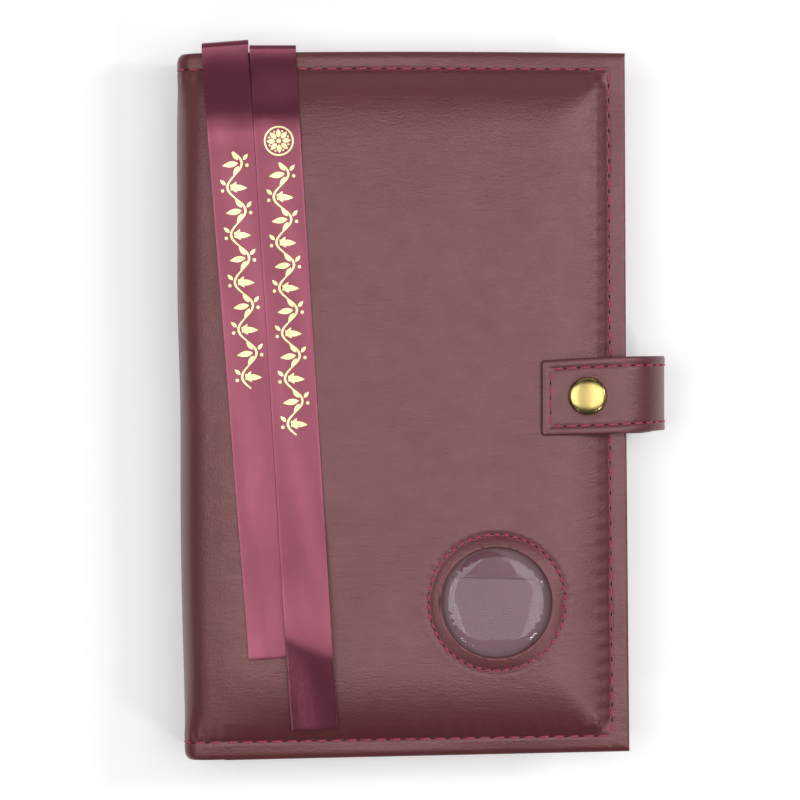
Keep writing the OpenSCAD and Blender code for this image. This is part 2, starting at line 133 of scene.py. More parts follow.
def warp(p):
    """The jacket isn't cut quite square, and it draws in beside the spine near the tail."""
    x, y = p[..., 0], p[..., 1]
    low = np.clip((-y - 50) / 67.5, 0, 1.1) ** 3
    high = np.clip((y - 60) / 57.5, 0, 1.1) ** 3
    dy = low * (-2.4 + 3.3 * (x + 70) / 145) + high * 0.55 * (1 - (x / 75) ** 2)
    dx = np.clip((x + 20) / 95, 0, 1.1) ** 3 * (0.1 - 0.8 * y / 117.5 * (1 + 0.35 * np.sign(-y)))
    dx += smooth((-x - 42) / 28) * 1.2 * smooth((-y - 42) / 62)
    dx -= smooth((-x - 42) / 28) * (0.8 + 1.2 * smooth((y + 20) / 70))
    out = p.copy()
    out[..., 0] += dx
    out[..., 1] += dy
    return out


def quarter_turn(radius, ease, n):
    """Tables of length, angle, run and rise along a quarter turn that eases in and out over a length."""
    arc = math.pi / 2 * radius
    s = np.linspace(-ease, arc + ease, n)
    a = math.pi / 2 * smooth((s + ease) / (arc + 2 * ease))
    sides = []
    for part in (np.cos(a), np.sin(a)):
        side = np.concatenate([[0], np.cumsum((part[1:] + part[:-1]) / 2 * np.diff(s))])
        sides.append(side * ((radius + ease) / side[-1]))
    return s, a, *sides


EASE = 3.5  # the corners' curve eases in and out over this length
turn_s, turn_a, turn_x, turn_z = quarter_turn(R, EASE, 400)


def path(s):
    """x, z and the outward normal along the jacket's unrolled width."""
    front = s < MID_S
    q = np.where(front, s, S5 - s) - S1
    a = np.interp(q, turn_s, turn_a)
    x = np.where(q < -EASE, HX - q, HX + EASE - np.interp(q, turn_s, turn_x))
    drop = np.where(q > ARC + EASE, R + q - ARC, np.interp(q, turn_s, turn_z))
    up = np.where(front, 1.0, -1.0)
    z = np.where(front, TOP - drop, drop)
    return x, z, -np.sin(a), np.cos(a) * up


def lift(s, y):
    """Height of the leatherette over the plain outer face, along the normal."""
    es = np.minimum(s, S5 - s) - (EDGE_X - SEAM_X)
    ey = SEAM_Y - np.abs(y)
    d = ROLL - (np.maximum(0, ROLL - es) ** 12 + np.maximum(0, ROLL - ey) ** 12) ** (1 / 12)
    t = np.clip(d / ROLL, 0, 1)
    roll = 1 - (1 - t) ** 4
    spine = smooth((WALL / 2 + ARC - np.abs(s - MID_S)) / ARC)
    h = PUFF * (1 - spine) - (DROP + PUFF - 3.2 * spine) * (1 - roll)
    for mid in ((S1 + S2) / 2, (S3 + S4) / 2):
        h -= 3.4 * np.exp(-(((s - mid) / 15.5) ** 2)) * roll
    h += 0.95 * spine
    # turned edges
    turned = np.where(y < 0, 1.0, 0.6) * np.clip(1 - (EDGE_Y - np.abs(y)) / 2.4, 0, 1) ** 2
    turned = np.maximum(turned, 0.4 * np.clip(1 - (es + EDGE_X - SEAM_X) / 1.6, 0, 1) ** 2)
    h -= turned
    # the spine's two ends draw in
    end = np.clip((np.abs(y) - (EDGE_Y - 3.4)) / 3.4, 0, 0.96)
    h -= spine * 1.7 * (1 - np.sqrt(1 - end**2))
    # thread pulls the seam down, and the roll puckers between stitches
    es2 = es + 0.55
    ey2 = ey + 0.55
    corner = (es2 > -0.5) & (ey2 > -0.5)
    near = np.where(corner, np.minimum(np.abs(es2), np.abs(ey2)), 9.0)
    h -= 0.3 * np.exp(-((near / 0.8) ** 2))
    pucker = np.where(ey < es, np.cos(s * 2 * math.pi / PITCH), np.cos(y * 2 * math.pi / PITCH))
    h += 0.13 * pucker * np.exp(-(((d - 2.0) / 2.2) ** 2)) * (d > -0.5)
    # soft foam, and margins that aren't quite flat
    x = EDGE_X - s
    wave = 0.20 * np.sin(x / 21 + 1.3) * np.sin(y / 27 + 0.4) + 0.13 * np.sin(y / 8.5 + x / 50)
    wave += 0.08 * np.sin(x / 6.1 + 2 * np.sin(y / 23))
    h += wave * roll * (1 - 0.6 * spine)
    edge = 0.22 * np.sin(y / 13.0 + 0.8) + 0.18 * np.sin(y / 5.9) * (es < 0)
    edge += 0.20 * np.sin(x / 15.0 + 2.0) * (ey < 0)
    h += edge * (1 - roll) * np.clip(-np.minimum(es, ey) / 4, 0, 1)
    return h, roll


def front_details(x, y):
    """Where the window's stitches and the snap's stud press into the front."""
    dx, dy = x - WINDOW[0], y - WINDOW[1]
    r = np.hypot(dx, dy)
    a = np.arctan2(dy, dx)
    h = -0.38 * np.exp(-(((r - RING_R) / 0.75) ** 2))
    h += 0.07 * np.exp(-(((r - RING_R - 1.9) / 1.2) ** 2)) * (1 + 0.8 * np.cos(RING_STITCHES * a))
    h += COLLAR * smooth((RING_R - r) / 4.6)
    q = np.hypot(x - SNAP[0], y - SNAP[1])
    return h, smooth((8.5 - q) / 4.0)


def surf(s, y, depth=0.0):
    s, y = np.broadcast_arrays(np.asarray(s, float), np.asarray(y, float))
    x, z, nx, nz = path(s)
    h, _ = lift(s, y)
    front = s < S1
    extra, snap = front_details(x, y)
    h = np.where(front, (h + extra) * (1 - snap) - 0.55 * snap, h)
    P = warp(np.stack([x + nx * (h - depth), y + 0 * x, z + nz * (h - depth)], -1))
    # nothing sinks into the book's own cover under the jacket
    past = np.maximum(P[..., 0] - cloth_hi[0], cloth_lo[0] - P[..., 0])
    past = np.maximum(np.abs(P[..., 1]) - cloth_hi[1], past)
    least = cloth_hi[2] + 0.20 - depth - 0.85 * np.maximum(past, 0)
    up = np.where(s < MID_S, P[..., 2], TOP - P[..., 2])
    up = np.where(np.minimum(s, S5 - s) < S1, least + 0.5 * (up - least + np.hypot(up - least, 0.5)), up)
    # and the book's weight presses the back flat
    rest = TOP - up - depth
    P[..., 2] = np.where(s < MID_S, up, depth + 0.5 * (rest + np.hypot(rest, 0.2)))
    return P


def surf_normal(s, y, eps=0.25):
    ds = surf(s + eps, y) - surf(s - eps, y)
    dy = surf(s, y + eps) - surf(s, y - eps)
    n = np.cross(dy, ds)
    n /= np.linalg.norm(n, axis=-1, keepdims=True)
    _, _, nx, nz = path(np.asarray(s, float))
    side = np.sign(n[..., 0] * nx + n[..., 2] * nz)
    return n * np.where(side == 0, 1, side)[..., None]


# ---------- mesh helpers ----------
def mesh_object(name, verts, faces, mats, smooth_angle, face_mats):
    me = bpy.data.meshes.new(name)
    me.from_pydata((np.asarray(verts, float) * MM).tolist(), [], faces)
    me.validate()
    for m in mats if isinstance(mats, (list, tuple)) else [mats]:
        me.materials.append(m)
    if face_mats is not None:
        me.polygons.foreach_set("material_index", np.asarray(face_mats, np.int32))
    ob = bpy.data.objects.new(name, me)
    bpy.context.collection.objects.link(ob)
    bm = bmesh.new()
    bm.from_mesh(me)
    bmesh.ops.recalc_face_normals(bm, faces=bm.faces)
    limit = math.radians(smooth_angle)
    for f in bm.faces:
        f.smooth = smooth_angle > 0
    for e in bm.edges:
        e.smooth = not (len(e.link_faces) == 2 and e.calc_face_angle(0) > limit)
    bm.to_mesh(me)
    bm.free()
    return ob


def rim_edges(loops):
    """The directed edges that only one of the loops has."""
    edges = {}
    for loop in loops:
        for u, v in zip(loop, loop[1:] + loop[:1]):
            if (v, u) in edges:
                del edges[(v, u)]
            else:
                edges[(u, v)] = True
    return edges


def tube_faces(n_rows, n):
    """Quads between rows of n points, where each row closes on itself."""
    faces = []
    for i in range(n_rows - 1):
        for k in range(n):
            w = (k + 1) % n
            faces.append((i * n + k, i * n + w, (i + 1) * n + w, (i + 1) * n + k))
    return faces


def ring_of(ni, nj):
    out = [(i, 0) for i in range(ni)]
    out += [(ni - 1, j) for j in range(1, nj)]
    out += [(i, nj - 1) for i in range(ni - 2, -1, -1)]
    out += [(0, j) for j in range(nj - 2, 0, -1)]
    return out


# which sides of a grid are free edges, for the sides i=0, i=last, j=0, j=last
ALL_FREE = (True, True, True, True)
START_FREE = (True, False, True, True)
END_FREE = (False, True, True, True)
JOINED = (False, False, True, True)


def shell_data(P, N, t, free=ALL_FREE, hole=None):
    """A closed sheet of thickness t under the grid of points P, with round free edges.
    hole is (centre, radius) in x and y."""
    ni, nj = P.shape[:2]
    verts = [*P.reshape(-1, 3)]
    inner0 = len(verts)
    verts += [*(P - N * t).reshape(-1, 3)]
    out_i = np.zeros((ni, nj, 3))
    di0, di1 = P[0] - P[1], P[-1] - P[-2]
    dj0, dj1 = P[:, 0] - P[:, 1], P[:, -1] - P[:, -2]
    unit = lambda v: v / np.linalg.norm(v, axis=-1, keepdims=True)
    if free[0]:
        out_i[0] += unit(di0)
    if free[1]:
        out_i[-1] += unit(di1)
    if free[2]:
        out_i[:, 0] += unit(dj0)
    if free[3]:
        out_i[:, -1] += unit(dj1)
    faces = []
    skip = set()
    if hole is not None:
        c = (P[:-1, :-1] + P[1:, 1:]) / 2
        inside = np.hypot(c[..., 0] - hole[0][0], c[..., 1] - hole[0][1]) < hole[1]
        skip = {(int(i), int(j)) for i, j in zip(*np.nonzero(inside))}
    for i in range(ni - 1):
        for j in range(nj - 1):
            if (i, j) in skip:
                continue
            a, b, c, d = i * nj + j, (i + 1) * nj + j, (i + 1) * nj + j + 1, i * nj + j + 1
            faces.append((a, b, c, d))
            faces.append((inner0 + d, inner0 + c, inner0 + b, inner0 + a))
    ring = ring_of(ni, nj)
    last = [i * nj + j for i, j in ring]
    steps = 6
    r = t / 2
    for k in range(1, steps + 1):
        a = math.pi * k / steps
        if k == steps:
            now = [inner0 + i * nj + j for i, j in ring]
        else:
            now = []
            for i, j in ring:
                now.append(len(verts))
                verts.append(P[i, j] + out_i[i, j] * r * math.sin(a) - N[i, j] * r * (1 - math.cos(a)))
        for q in range(len(ring)):
            w = (q + 1) % len(ring)
            faces.append((last[q], last[w], now[w], now[q]))
        last = now
    if skip:
        edges = rim_edges(((i, j), (i + 1, j), (i + 1, j + 1), (i, j + 1)) for i, j in skip)
        rim = {}
        levels = [(hole[1] + 0.4, 0.0), (hole[1] + 0.15, 0.1), (hole[1], 0.35), (hole[1], t)]
        for u, v in edges:
            for p in (u, v):
                if p in rim:
                    continue
                base = P[p] - np.array([hole[0][0], hole[0][1], 0])
                ang = math.atan2(base[1], base[0])
                ids = []
                for k, (rr, down) in enumerate(levels):
                    q = np.array([hole[0][0] + rr * math.cos(ang), hole[0][1] + rr * math.sin(ang), P[p][2]])
                    q = q - N[p] * down
                    if k == 0:
                        verts[p[0] * nj + p[1]] = q
                        ids.append(p[0] * nj + p[1])
                    elif k == len(levels) - 1:
                        verts[inner0 + p[0] * nj + p[1]] = q
                        ids.append(inner0 + p[0] * nj + p[1])
                    else:
                        ids.append(len(verts))
                        verts.append(q)
                rim[p] = ids
        for u, v in edges:
            for k in range(len(levels) - 1):
                faces.append((rim[u][k], rim[v][k], rim[v][k + 1], rim[u][k + 1]))
    return np.array(verts), faces


def used_only(verts, faces):
    used = sorted({v for f in faces for v in f})
    at = {v: k for k, v in enumerate(used)}
    return verts[used], [tuple(at[v] for v in f) for f in faces]


def join(parts):
    verts, faces, mats = [], [], []
    n = 0
    for part in parts:
        v, f = part[0], part[1]
        verts.append(np.asarray(v, float))
        faces += [tuple(i + n for i in q) for q in f]
        mats += [part[2] if len(part) > 2 else 0] * len(f)
        n += len(v)
    return np.concatenate(verts), faces, mats


def grid_normals(P):
    di = np.gradient(P, axis=0)
    dj = np.gradient(P, axis=1)
    n = np.cross(di, dj)
    return n / np.linalg.norm(n, axis=-1, keepdims=True)


def lines(*runs):
    """Grid lines from a to b with about that spacing, for each (a, b, spacing), one after another."""
    out = []
    for a, b, step in runs:
        n = max(1, round(abs(b - a) / step))
        out += [a + (b - a) * k / n for k in range(n)]
    out.append(runs[-1][1])
    return np.array(out)


def piece(name, data, mats, nodes, body=None, mix=None, smooth_angle=45, face_mats=None):
    """A new piece that hides the CAD nodes it stands for and is parented to its body; one that bends between
    two bodies is left unparented with its transform baked.
    """
    verts, faces = data
    ob = mesh_object(name, verts, faces, mats, smooth_angle, face_mats)
    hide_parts(*nodes)
    if mix:
        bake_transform(ob)
    else:
        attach(ob, body)
    return ob


# ---------- materials ----------
def material(name):
    m = bpy.data.materials.new(name)
    m.use_nodes = True
    nt = m.node_tree
    return m, nt, nt.nodes["Principled BSDF"]


def add(nt, kind, **values):
    n = nt.nodes.new(kind)
    for k, v in values.items():
        if k in n.inputs:
            n.inputs[k].default_value = v
        else:
            setattr(n, k, v)
    return n


def set_inputs(node, values):
    for name, value in values.items():
        node.inputs[name].default_value = value


def coords(nt, scale=(1, 1, 1)):
    tc = nt.nodes.new("ShaderNodeTexCoord")
    mp = nt.nodes.new("ShaderNodeMapping")
    mp.inputs["Scale"].default_value = scale
    nt.links.new(tc.outputs["Object"], mp.inputs["Vector"])
    return mp.outputs["Vector"]


def noise_tex(nt, vec, scale, detail=3.0, rough=0.55, distortion=0.0):
    n = add(nt, "ShaderNodeTexNoise", Scale=scale, Detail=detail, Roughness=rough, Distortion=distortion)
    nt.links.new(vec, n.inputs["Vector"])
    return n


def bump(nt, height, strength, distance, normal=None):
    b = add(nt, "ShaderNodeBump", Strength=strength, Distance=distance)
    nt.links.new(height, b.inputs["Height"])
    if normal is not None:
        nt.links.new(normal, b.inputs["Normal"])
    return b.outputs["Normal"]


def ramp(nt, fac, stops):
    r = nt.nodes.new("ShaderNodeValToRGB")
    while len(r.color_ramp.elements) < len(stops):
        r.color_ramp.elements.new(0.5)
    for e, (p, c) in zip(r.color_ramp.elements, stops):
        e.position = p
        e.color = (*c, 1)
    nt.links.new(fac, r.inputs["Fac"])
    return r.outputs["Color"]


def color_from(nt, b, noise, stops):
    """The base colour follows a noise, from one (place, colour) stop to the next."""
    nt.links.new(ramp(nt, noise, stops), b.inputs["Base Color"])


def value_ramp(nt, noise, place_lo, lo, place_hi, hi):
    return ramp(nt, noise, [(place_lo, (lo,) * 3), (place_hi, (hi,) * 3)])


def leather(name, base, dark, rough=0.40, grain=1.0, crease=1.0, spec=0.66, ior=1.7, tint=(1.0, 0.64, 0.65)):
    m, nt, b = material(name)
    vec = coords(nt)
    cloud = noise_tex(nt, vec, 55, 4)
    color_from(nt, b, cloud.outputs["Fac"], [(0.30, dark), (0.72, base)])
    pebble = add(nt, "ShaderNodeTexVoronoi", Scale=1500.0, feature="SMOOTH_F1", Smoothness=0.6)
    nt.links.new(vec, pebble.inputs["Vector"])
    fine = noise_tex(nt, vec, 2600, 2)
    wrinkle = noise_tex(nt, coords(nt, (0.22, 1.0, 1.0)), 720, 4, 0.6, 0.8)
    big = noise_tex(nt, coords(nt, (0.35, 1.0, 1.0)), 70, 3, 0.5, 0.3)
    n1 = bump(nt, pebble.outputs["Distance"], 0.32 * grain, 0.00012)
    n2 = bump(nt, fine.outputs["Fac"], 0.25 * grain, 0.00006, n1)
    n3 = bump(nt, wrinkle.outputs["Fac"], 0.42 * crease, 0.00020, n2)
    n4 = bump(nt, big.outputs["Fac"], 0.30 * crease, 0.0006, n3)
    nt.links.new(n4, b.inputs["Normal"])
    shine = noise_tex(nt, vec, 160, 3)
    roughness = value_ramp(nt, shine.outputs["Fac"], 0.3, rough - 0.02, 0.7, rough + 0.03)
    nt.links.new(roughness, b.inputs["Roughness"])
    set_inputs(b, {"Specular IOR Level": spec, "IOR": ior, "Specular Tint": (*tint, 1)})
    set_inputs(b, {"Sheen Weight": 0.04, "Sheen Roughness": 0.5, "Sheen Tint": (0.9, 0.75, 0.75, 1)})
    return m


def plain(name, color, rough=0.6, spec=0.5, scale=900, height=0.00008, strength=0.3, vary=0.12):
    m, nt, b = material(name)
    vec = coords(nt)
    n = noise_tex(nt, vec, scale, 4)
    lo = tuple(c * (1 - vary) for c in color)
    hi = tuple(min(1, c * (1 + vary)) for c in color)
    color_from(nt, b, n.outputs["Fac"], [(0.3, lo), (0.7, hi)])
    nt.links.new(bump(nt, n.outputs["Fac"], strength, height), b.inputs["Normal"])
    set_inputs(b, {"Roughness": rough, "Specular IOR Level": spec})
    return m


def weave(name, color, dark, pitch, rough=0.6, spec=0.4):
    """Woven cloth with threads both ways, that pitch apart in metres."""
    m, nt, b = material(name)
    outs = []
    for axis in ("X", "Y"):
        w = add(nt, "ShaderNodeTexWave", Scale=0.314 / pitch, Distortion=0.6, bands_direction=axis)
        nt.links.new(coords(nt), w.inputs["Vector"])
        outs.append(w.outputs["Fac"])
    mul = add(nt, "ShaderNodeMath", operation="MULTIPLY")
    nt.links.new(outs[0], mul.inputs[0])
    nt.links.new(outs[1], mul.inputs[1])
    color_from(nt, b, mul.outputs[0], [(0.0, dark), (0.6, color)])
    nt.links.new(bump(nt, mul.outputs[0], 0.5, 0.00012), b.inputs["Normal"])
    set_inputs(b, {"Roughness": rough, "Specular IOR Level": spec})
    return m


def satin(name, color, dark):
    m, nt, b = material(name)
    fine = add(nt, "ShaderNodeTexWave", Scale=1100.0, Distortion=0.8, bands_direction="Y")
    nt.links.new(coords(nt), fine.inputs["Vector"])
    fibre = noise_tex(nt, coords(nt, (1.0, 0.05, 1.0)), 3000, 2)
    cloud = noise_tex(nt, coords(nt, (1.0, 0.5, 1.0)), 90, 3)
    color_from(nt, b, cloud.outputs["Fac"], [(0.25, dark), (0.75, color)])
    n1 = bump(nt, fine.outputs["Fac"], 0.10, 0.00004)
    n2 = bump(nt, fibre.outputs["Fac"], 0.10, 0.00004, n1)
    n3 = bump(nt, cloud.outputs["Fac"], 0.25, 0.0006, n2)
    nt.links.new(n3, b.inputs["Normal"])
    set_inputs(b, {"Metallic": 0.69, "Roughness": 0.30, "Specular IOR Level": 0.75, "IOR": 1.7})
    set_inputs(b, {"Sheen Weight": 0.12, "Sheen Tint": (0.9, 0.4, 0.55, 1)})
    return m


def metal(name, color, rough):
    m, nt, b = material(name)
    n = noise_tex(nt, coords(nt), 700, 5)
    nt.links.new(value_ramp(nt, n.outputs["Fac"], 0.35, rough, 0.75, rough + 0.10), b.inputs["Roughness"])
    nt.links.new(bump(nt, n.outputs["Fac"], 0.08, 0.00005), b.inputs["Normal"])
    set_inputs(b, {"Base Color": (*color, 1), "Metallic": 1})
    return m


def mixed(nt, share, one, other):
    """The output of a shader that mixes two others."""
    mix = nt.nodes.new("ShaderNodeMixShader")
    for socket, source in zip(mix.inputs, (share, one, other)):
        nt.links.new(source, socket)
    return mix.outputs[0]


def vinyl(name):
    """Thin clear film: see-through, with a mirror sheen that grows at grazing angles and a faint haze."""
    m, nt, b = material(name)
    out = nt.nodes["Material Output"]
    clear = add(nt, "ShaderNodeBsdfTransparent", Color=(0.96, 0.955, 0.965, 1))
    gloss = add(nt, "ShaderNodeBsdfAnisotropic", Color=(1, 1, 1, 1), Roughness=0.05)
    haze = add(nt, "ShaderNodeBsdfDiffuse", Color=(0.62, 0.63, 0.68, 1))
    scuff = noise_tex(nt, coords(nt), 260, 5, 0.65)
    dent = noise_tex(nt, coords(nt), 95, 2)
    n2 = bump(nt, dent.outputs["Fac"], 0.05, 0.0012)
    nt.links.new(n2, gloss.inputs["Normal"])
    fres = add(nt, "ShaderNodeFresnel", IOR=1.30)
    nt.links.new(n2, fres.inputs["Normal"])
    film = mixed(nt, fres.outputs[0], clear.outputs[0], gloss.outputs[0])
    haziness = value_ramp(nt, scuff.outputs["Fac"], 0.3, 0.035, 0.8, 0.075)
    nt.links.new(mixed(nt, haziness, film, haze.outputs[0]), out.inputs["Surface"])
    nt.nodes.remove(b)
    return m


def page_edges(name):
    m, nt, b = material(name)
    vec = coords(nt, (0.02, 0.02, 1.0))
    leaves = noise_tex(nt, vec, 9000, 4, 0.7)
    group = noise_tex(nt, vec, 900, 2)
    stops = [(0.30, (0.50, 0.43, 0.32)), (0.48, (0.78, 0.72, 0.61)), (0.8, (0.86, 0.81, 0.71))]
    color_from(nt, b, leaves.outputs["Fac"], stops)
    n1 = bump(nt, leaves.outputs["Fac"], 0.6, 0.00012)
    n2 = bump(nt, group.outputs["Fac"], 0.4, 0.0003, n1)
    nt.links.new(n2, b.inputs["Normal"])
    set_inputs(b, {"Roughness": 0.8, "Specular IOR Level": 0.2})
    return m


BURGUNDY = (0.101, 0.0160, 0.0184)
BURGUNDY_DARK = (0.090, 0.0140, 0.0162)
m_leather = leather("leatherette", BURGUNDY, BURGUNDY_DARK)
m_inner = leather("leatherette_inside", (0.085, 0.018, 0.021), (0.065, 0.013, 0.016), rough=0.55)
m_strap = leather("leatherette_strap", (0.092, 0.0155, 0.0205), (0.077, 0.0115, 0.0155), crease=0.6)
NO_TINT = (1.0, 1.0, 1.0)
# darker copy of the backing: painted shade in the half-moon where the pocket gapes
POCKET_SHADE = ((0.19, 0.030, 0.045), (0.16, 0.024, 0.038))
m_pocket_shade = leather("leatherette_pocket_shade", *POCKET_SHADE, 0.7, spec=0.25, ior=1.5, tint=NO_TINT)
# the backing's burgundy is made lighter and greyer than the cover's as painted haze of the film over it
BACKING_PAINTED_HAZE = ((0.21, 0.054, 0.065), (0.19, 0.045, 0.054))
m_backing_painted_haze = leather("leatherette_backing_painted_haze", *BACKING_PAINTED_HAZE, 0.5, spec=0.7, ior=1.5, tint=NO_TINT)
m_thread = plain("thread", (0.40, 0.055, 0.095), 0.6, scale=5000, height=0.00005, vary=0.3)
# needle holes and the window's slit are coloured dark crimson as painted shade in them
m_hole_shade = plain("needle_hole_shade", (0.095, 0.009, 0.022), 0.9, spec=0.1, vary=0.2)
m_lining = weave("lining", (0.07, 0.022, 0.03), (0.03, 0.01, 0.014), 0.0004)
m_foam = plain("foam", (0.75, 0.72, 0.64), 0.95, scale=2500, height=0.0002, strength=0.8)
m_cloth = weave("book_cloth", (0.035, 0.05, 0.12), (0.012, 0.02, 0.05), 0.0006)
m_card = plain("board", (0.30, 0.27, 0.22), 0.9, scale=1500)
m_paper = plain("paper", (0.84, 0.80, 0.71), 0.75, spec=0.25, scale=1800, height=0.00003, vary=0.03)
m_endpaper = plain("endpaper", (0.86, 0.84, 0.78), 0.7, spec=0.25, scale=1400, height=0.00003, vary=0.03)
m_edges = page_edges("page_edges")
m_mull = weave("mull", (0.72, 0.68, 0.6), (0.4, 0.36, 0.3), 0.0009, 0.9)
m_brass = metal("brass", (0.36, 0.27, 0.10), 0.15)
m_brass_dull = metal("brass_inside", (0.80, 0.60, 0.28), 0.28)
m_foil = metal("gold_foil", (0.66, 0.54, 0.28), 0.26)
m_satin = satin("satin", (0.190, 0.027, 0.057), (0.168, 0.023, 0.049))
m_vinyl = vinyl("clear_vinyl")

# ---------- the jacket: front, spine and back ----------
FRONT_END = EDGE_X + 60.0  # the covers' rigid panels end here, past the bending corners
WALL_CUT = 6.0
EDGE_R = SKIN / 2
BEND_OUT = 1.71  # the joint tuples list points this far past each end of a corner, for sharing out its bend; nothing here reads them
MARGIN_Y = 102  # grid lines stand close on the margins past here
MARGIN_S = 16.5
tail_lines = (EDGE_R - EDGE_Y, -MARGIN_Y, 0.55)
head_lines = (MARGIN_Y, EDGE_Y - EDGE_R, 0.55)
# and fairly close across the window
y_all = lines(tail_lines, (-MARGIN_Y, -94, 0.9), (-94, -39, 0.75), (-39, MARGIN_Y, 1.25), head_lines)
y_plain = lines(tail_lines, (-MARGIN_Y, MARGIN_Y, 1.25), head_lines)
s_front = lines((EDGE_R, MARGIN_S, 0.55), (MARGIN_S, 70, 0.75), (70, FRONT_END, 1.5))
s_back = lines((S5 - FRONT_END, S5 - MARGIN_S, 2.0), (S5 - MARGIN_S, S5 - EDGE_R, 0.55))
s_spine = lines((S2 + WALL_CUT, S3 - WALL_CUT, 1.2))
s_front_joint = lines((FRONT_END, S1, 0.9), (S1, S2, 0.6), (S2, S2 + WALL_CUT, 0.9))
s_back_joint = lines((S3 - WALL_CUT, S3, 0.9), (S3, S4, 0.6), (S4, S5 - FRONT_END, 0.9))
joint_front = (
    "spine_cover",
    "front_cover",
    (SPINE_X - BEND_OUT, 0, TOP - R - BEND_OUT),
    (HX + BEND_OUT, 0, TOP + BEND_OUT),
)
joint_back = (
    "back_cover",
    "spine_cover",
    (HX + BEND_OUT, 0, -BEND_OUT),
    (SPINE_X - BEND_OUT, 0, R + BEND_OUT),
)


def skin(name, s_lines, y_lines, free, nodes, body=None, mix=None, hole=None):
    s, y = np.meshgrid(s_lines, y_lines, indexing="ij")
    data = used_only(*shell_data(surf(s, y), surf_normal(s, y), SKIN, free, hole))
    return piece(name, data, m_leather, nodes, body, mix)


round_hole = (WINDOW, HOLE_R)
front_panel = skin("jacket_front", s_front, y_all, START_FREE, ["front_skin"], "front_cover", hole=round_hole)
back_panel = skin("jacket_back", s_back, y_plain, END_FREE, ["back_skin"], "back_cover")
skin("jacket_spine", s_spine, y_plain, JOINED, ["spine_skin"], "spine_cover")
skin("jacket_front_joint", s_front_joint, y_plain, JOINED, ["front_joint_skin"], mix=joint_front)
skin("jacket_back_joint", s_back_joint, y_plain, JOINED, ["back_joint_skin"], mix=joint_back)

# the spine's lining, and the book's own spine behind the jacket
y_mid = lines((-EDGE_Y + 0.8, EDGE_Y - 0.8, 2.5))
y_board = lines((board_lo[1], board_hi[1], 2.5))
for name, gap, y_lines, deep, thick, mat, slot, node in (
    ("spine_lining_sheet", 1, y_mid, 0.05, 0.3, m_lining, "lining", "spine_lining"),
    ("spine_cloth_sheet", 0.5, y_board, 0.4, 0.3, m_cloth, "book_cloth", "spine_case_cloth"),
    ("spine_board_strip", 1.5, y_board, 0.75, 1.2, m_card, "board", "spine_board"),
):
    s, y = np.meshgrid(lines((S2 + gap, S3 - gap, 1.5)), y_lines, indexing="ij")
    sheet = shell_data(surf(s, y, SKIN + deep), surf_normal(s, y), thick)
    piece(name, sheet, mat, [node], "spine_cover")


COVERS = {1: ("front", "front_cover"), -1: ("back", "back_cover")}


def flat_sheet(x0, x1, y0, y1, z, t, up):
    """A flat sheet that follows the jacket's outline. z is its outer face and up is 1 or -1."""
    x, y = np.meshgrid(lines((x0, x1, 3.0)), lines((y0, y1, 3.0)), indexing="ij")
    P = warp(np.stack([x, y, 0 * x + z], -1))
    N = np.zeros_like(P)
    N[..., 2] = up
    return shell_data(P, N, t)


def inside_pieces(side):
    """The sleeve's flap, hems and lining for the front (side 1) or the back (side -1)."""
    name, body = COVERS[side]
    at = (lambda d: TOP - d) if side > 0 else (lambda d: d)
    hem = flap_hi[1] - board_hi[1] + 0.9
    e = 0.35
    x_in = EDGE_X - FRONT_END + 0.5
    hem_end = -20.2  # the hems along the head and tail run from the spine to here
    flap_t = 0.6
    flap = [
        flat_sheet(flap_lo[0] + 46.7, EDGE_X - e, e - EDGE_Y, EDGE_Y - e, at(FLAP_Z), flap_t, -side),
        flat_sheet(x_in, hem_end, EDGE_Y - hem, EDGE_Y - e, at(FLAP_Z), flap_t, -side),
        flat_sheet(x_in, hem_end, e - EDGE_Y, hem - EDGE_Y, at(FLAP_Z), flap_t, -side),
    ]
    piece(f"{name}_sleeve_flap", join(flap)[:2], m_inner, [f"{name}_flap"], body)
    d = FLAP_Z - flap_t
    e = 0.7
    bx, by = board_hi[0] + 0.7, board_hi[1] + 0.7
    lining = [
        flat_sheet(bx, EDGE_X - e, e - EDGE_Y, EDGE_Y - e, at(d), 0.28, -side),
        flat_sheet(x_in, bx - 0.01, by, EDGE_Y - e, at(d), 0.28, -side),
        flat_sheet(x_in, bx - 0.01, e - EDGE_Y, -by, at(d), 0.28, -side),
    ]
    piece(f"{name}_sleeve_lining", join(lining)[:2], m_lining, [f"{name}_lining"], body)


inside_pieces(1)
inside_pieces(-1)


def foam(side):
    """Foam between the leatherette and its lining, thinning out down the rolled edges."""
    name, body = COVERS[side]
    s_lines = lines((EDGE_X - SEAM_X + 2.5, FRONT_END - 0.3, 1.6))
    y_lines = lines((2.5 - SEAM_Y, SEAM_Y - 2.5, 1.8))
    s, y = np.meshgrid(s_lines if side > 0 else S5 - s_lines, y_lines, indexing="ij")
    P = surf(s, y, SKIN + 0.06)
    floor_z = TOP - 1.97 if side > 0 else 1.97
    thin = (P[..., 2] - floor_z) * side < 0.15
    ni, nj = s.shape
    low = P.copy()
    low[..., 2] = floor_z
    cells = [(i, j) for i in range(ni - 1) for j in range(nj - 1) if not thin[i : i + 2, j : j + 2].any()]
    if side > 0:
        gap = lambda i, j: math.dist(P[i, j][:2], WINDOW) < 26 or math.dist(P[i, j][:2], SNAP) < 5
        cells = [c for c in cells if not gap(*c)]
    quad = lambda i, j: (i * nj + j, (i + 1) * nj + j, (i + 1) * nj + j + 1, i * nj + j + 1)
    quads = [quad(*c) for c in cells]
    faces = []
    for q in quads:
        faces.append(q)
        faces.append(tuple(k + ni * nj for k in reversed(q)))
    faces += [(u, v, v + ni * nj, u + ni * nj) for u, v in rim_edges(quads)]
    data = used_only(np.concatenate([P.reshape(-1, 3), low.reshape(-1, 3)]), faces)
    piece(f"{name}_foam", data, m_foam, [f"{name}_padding"], body)


foam(1)
foam(-1)


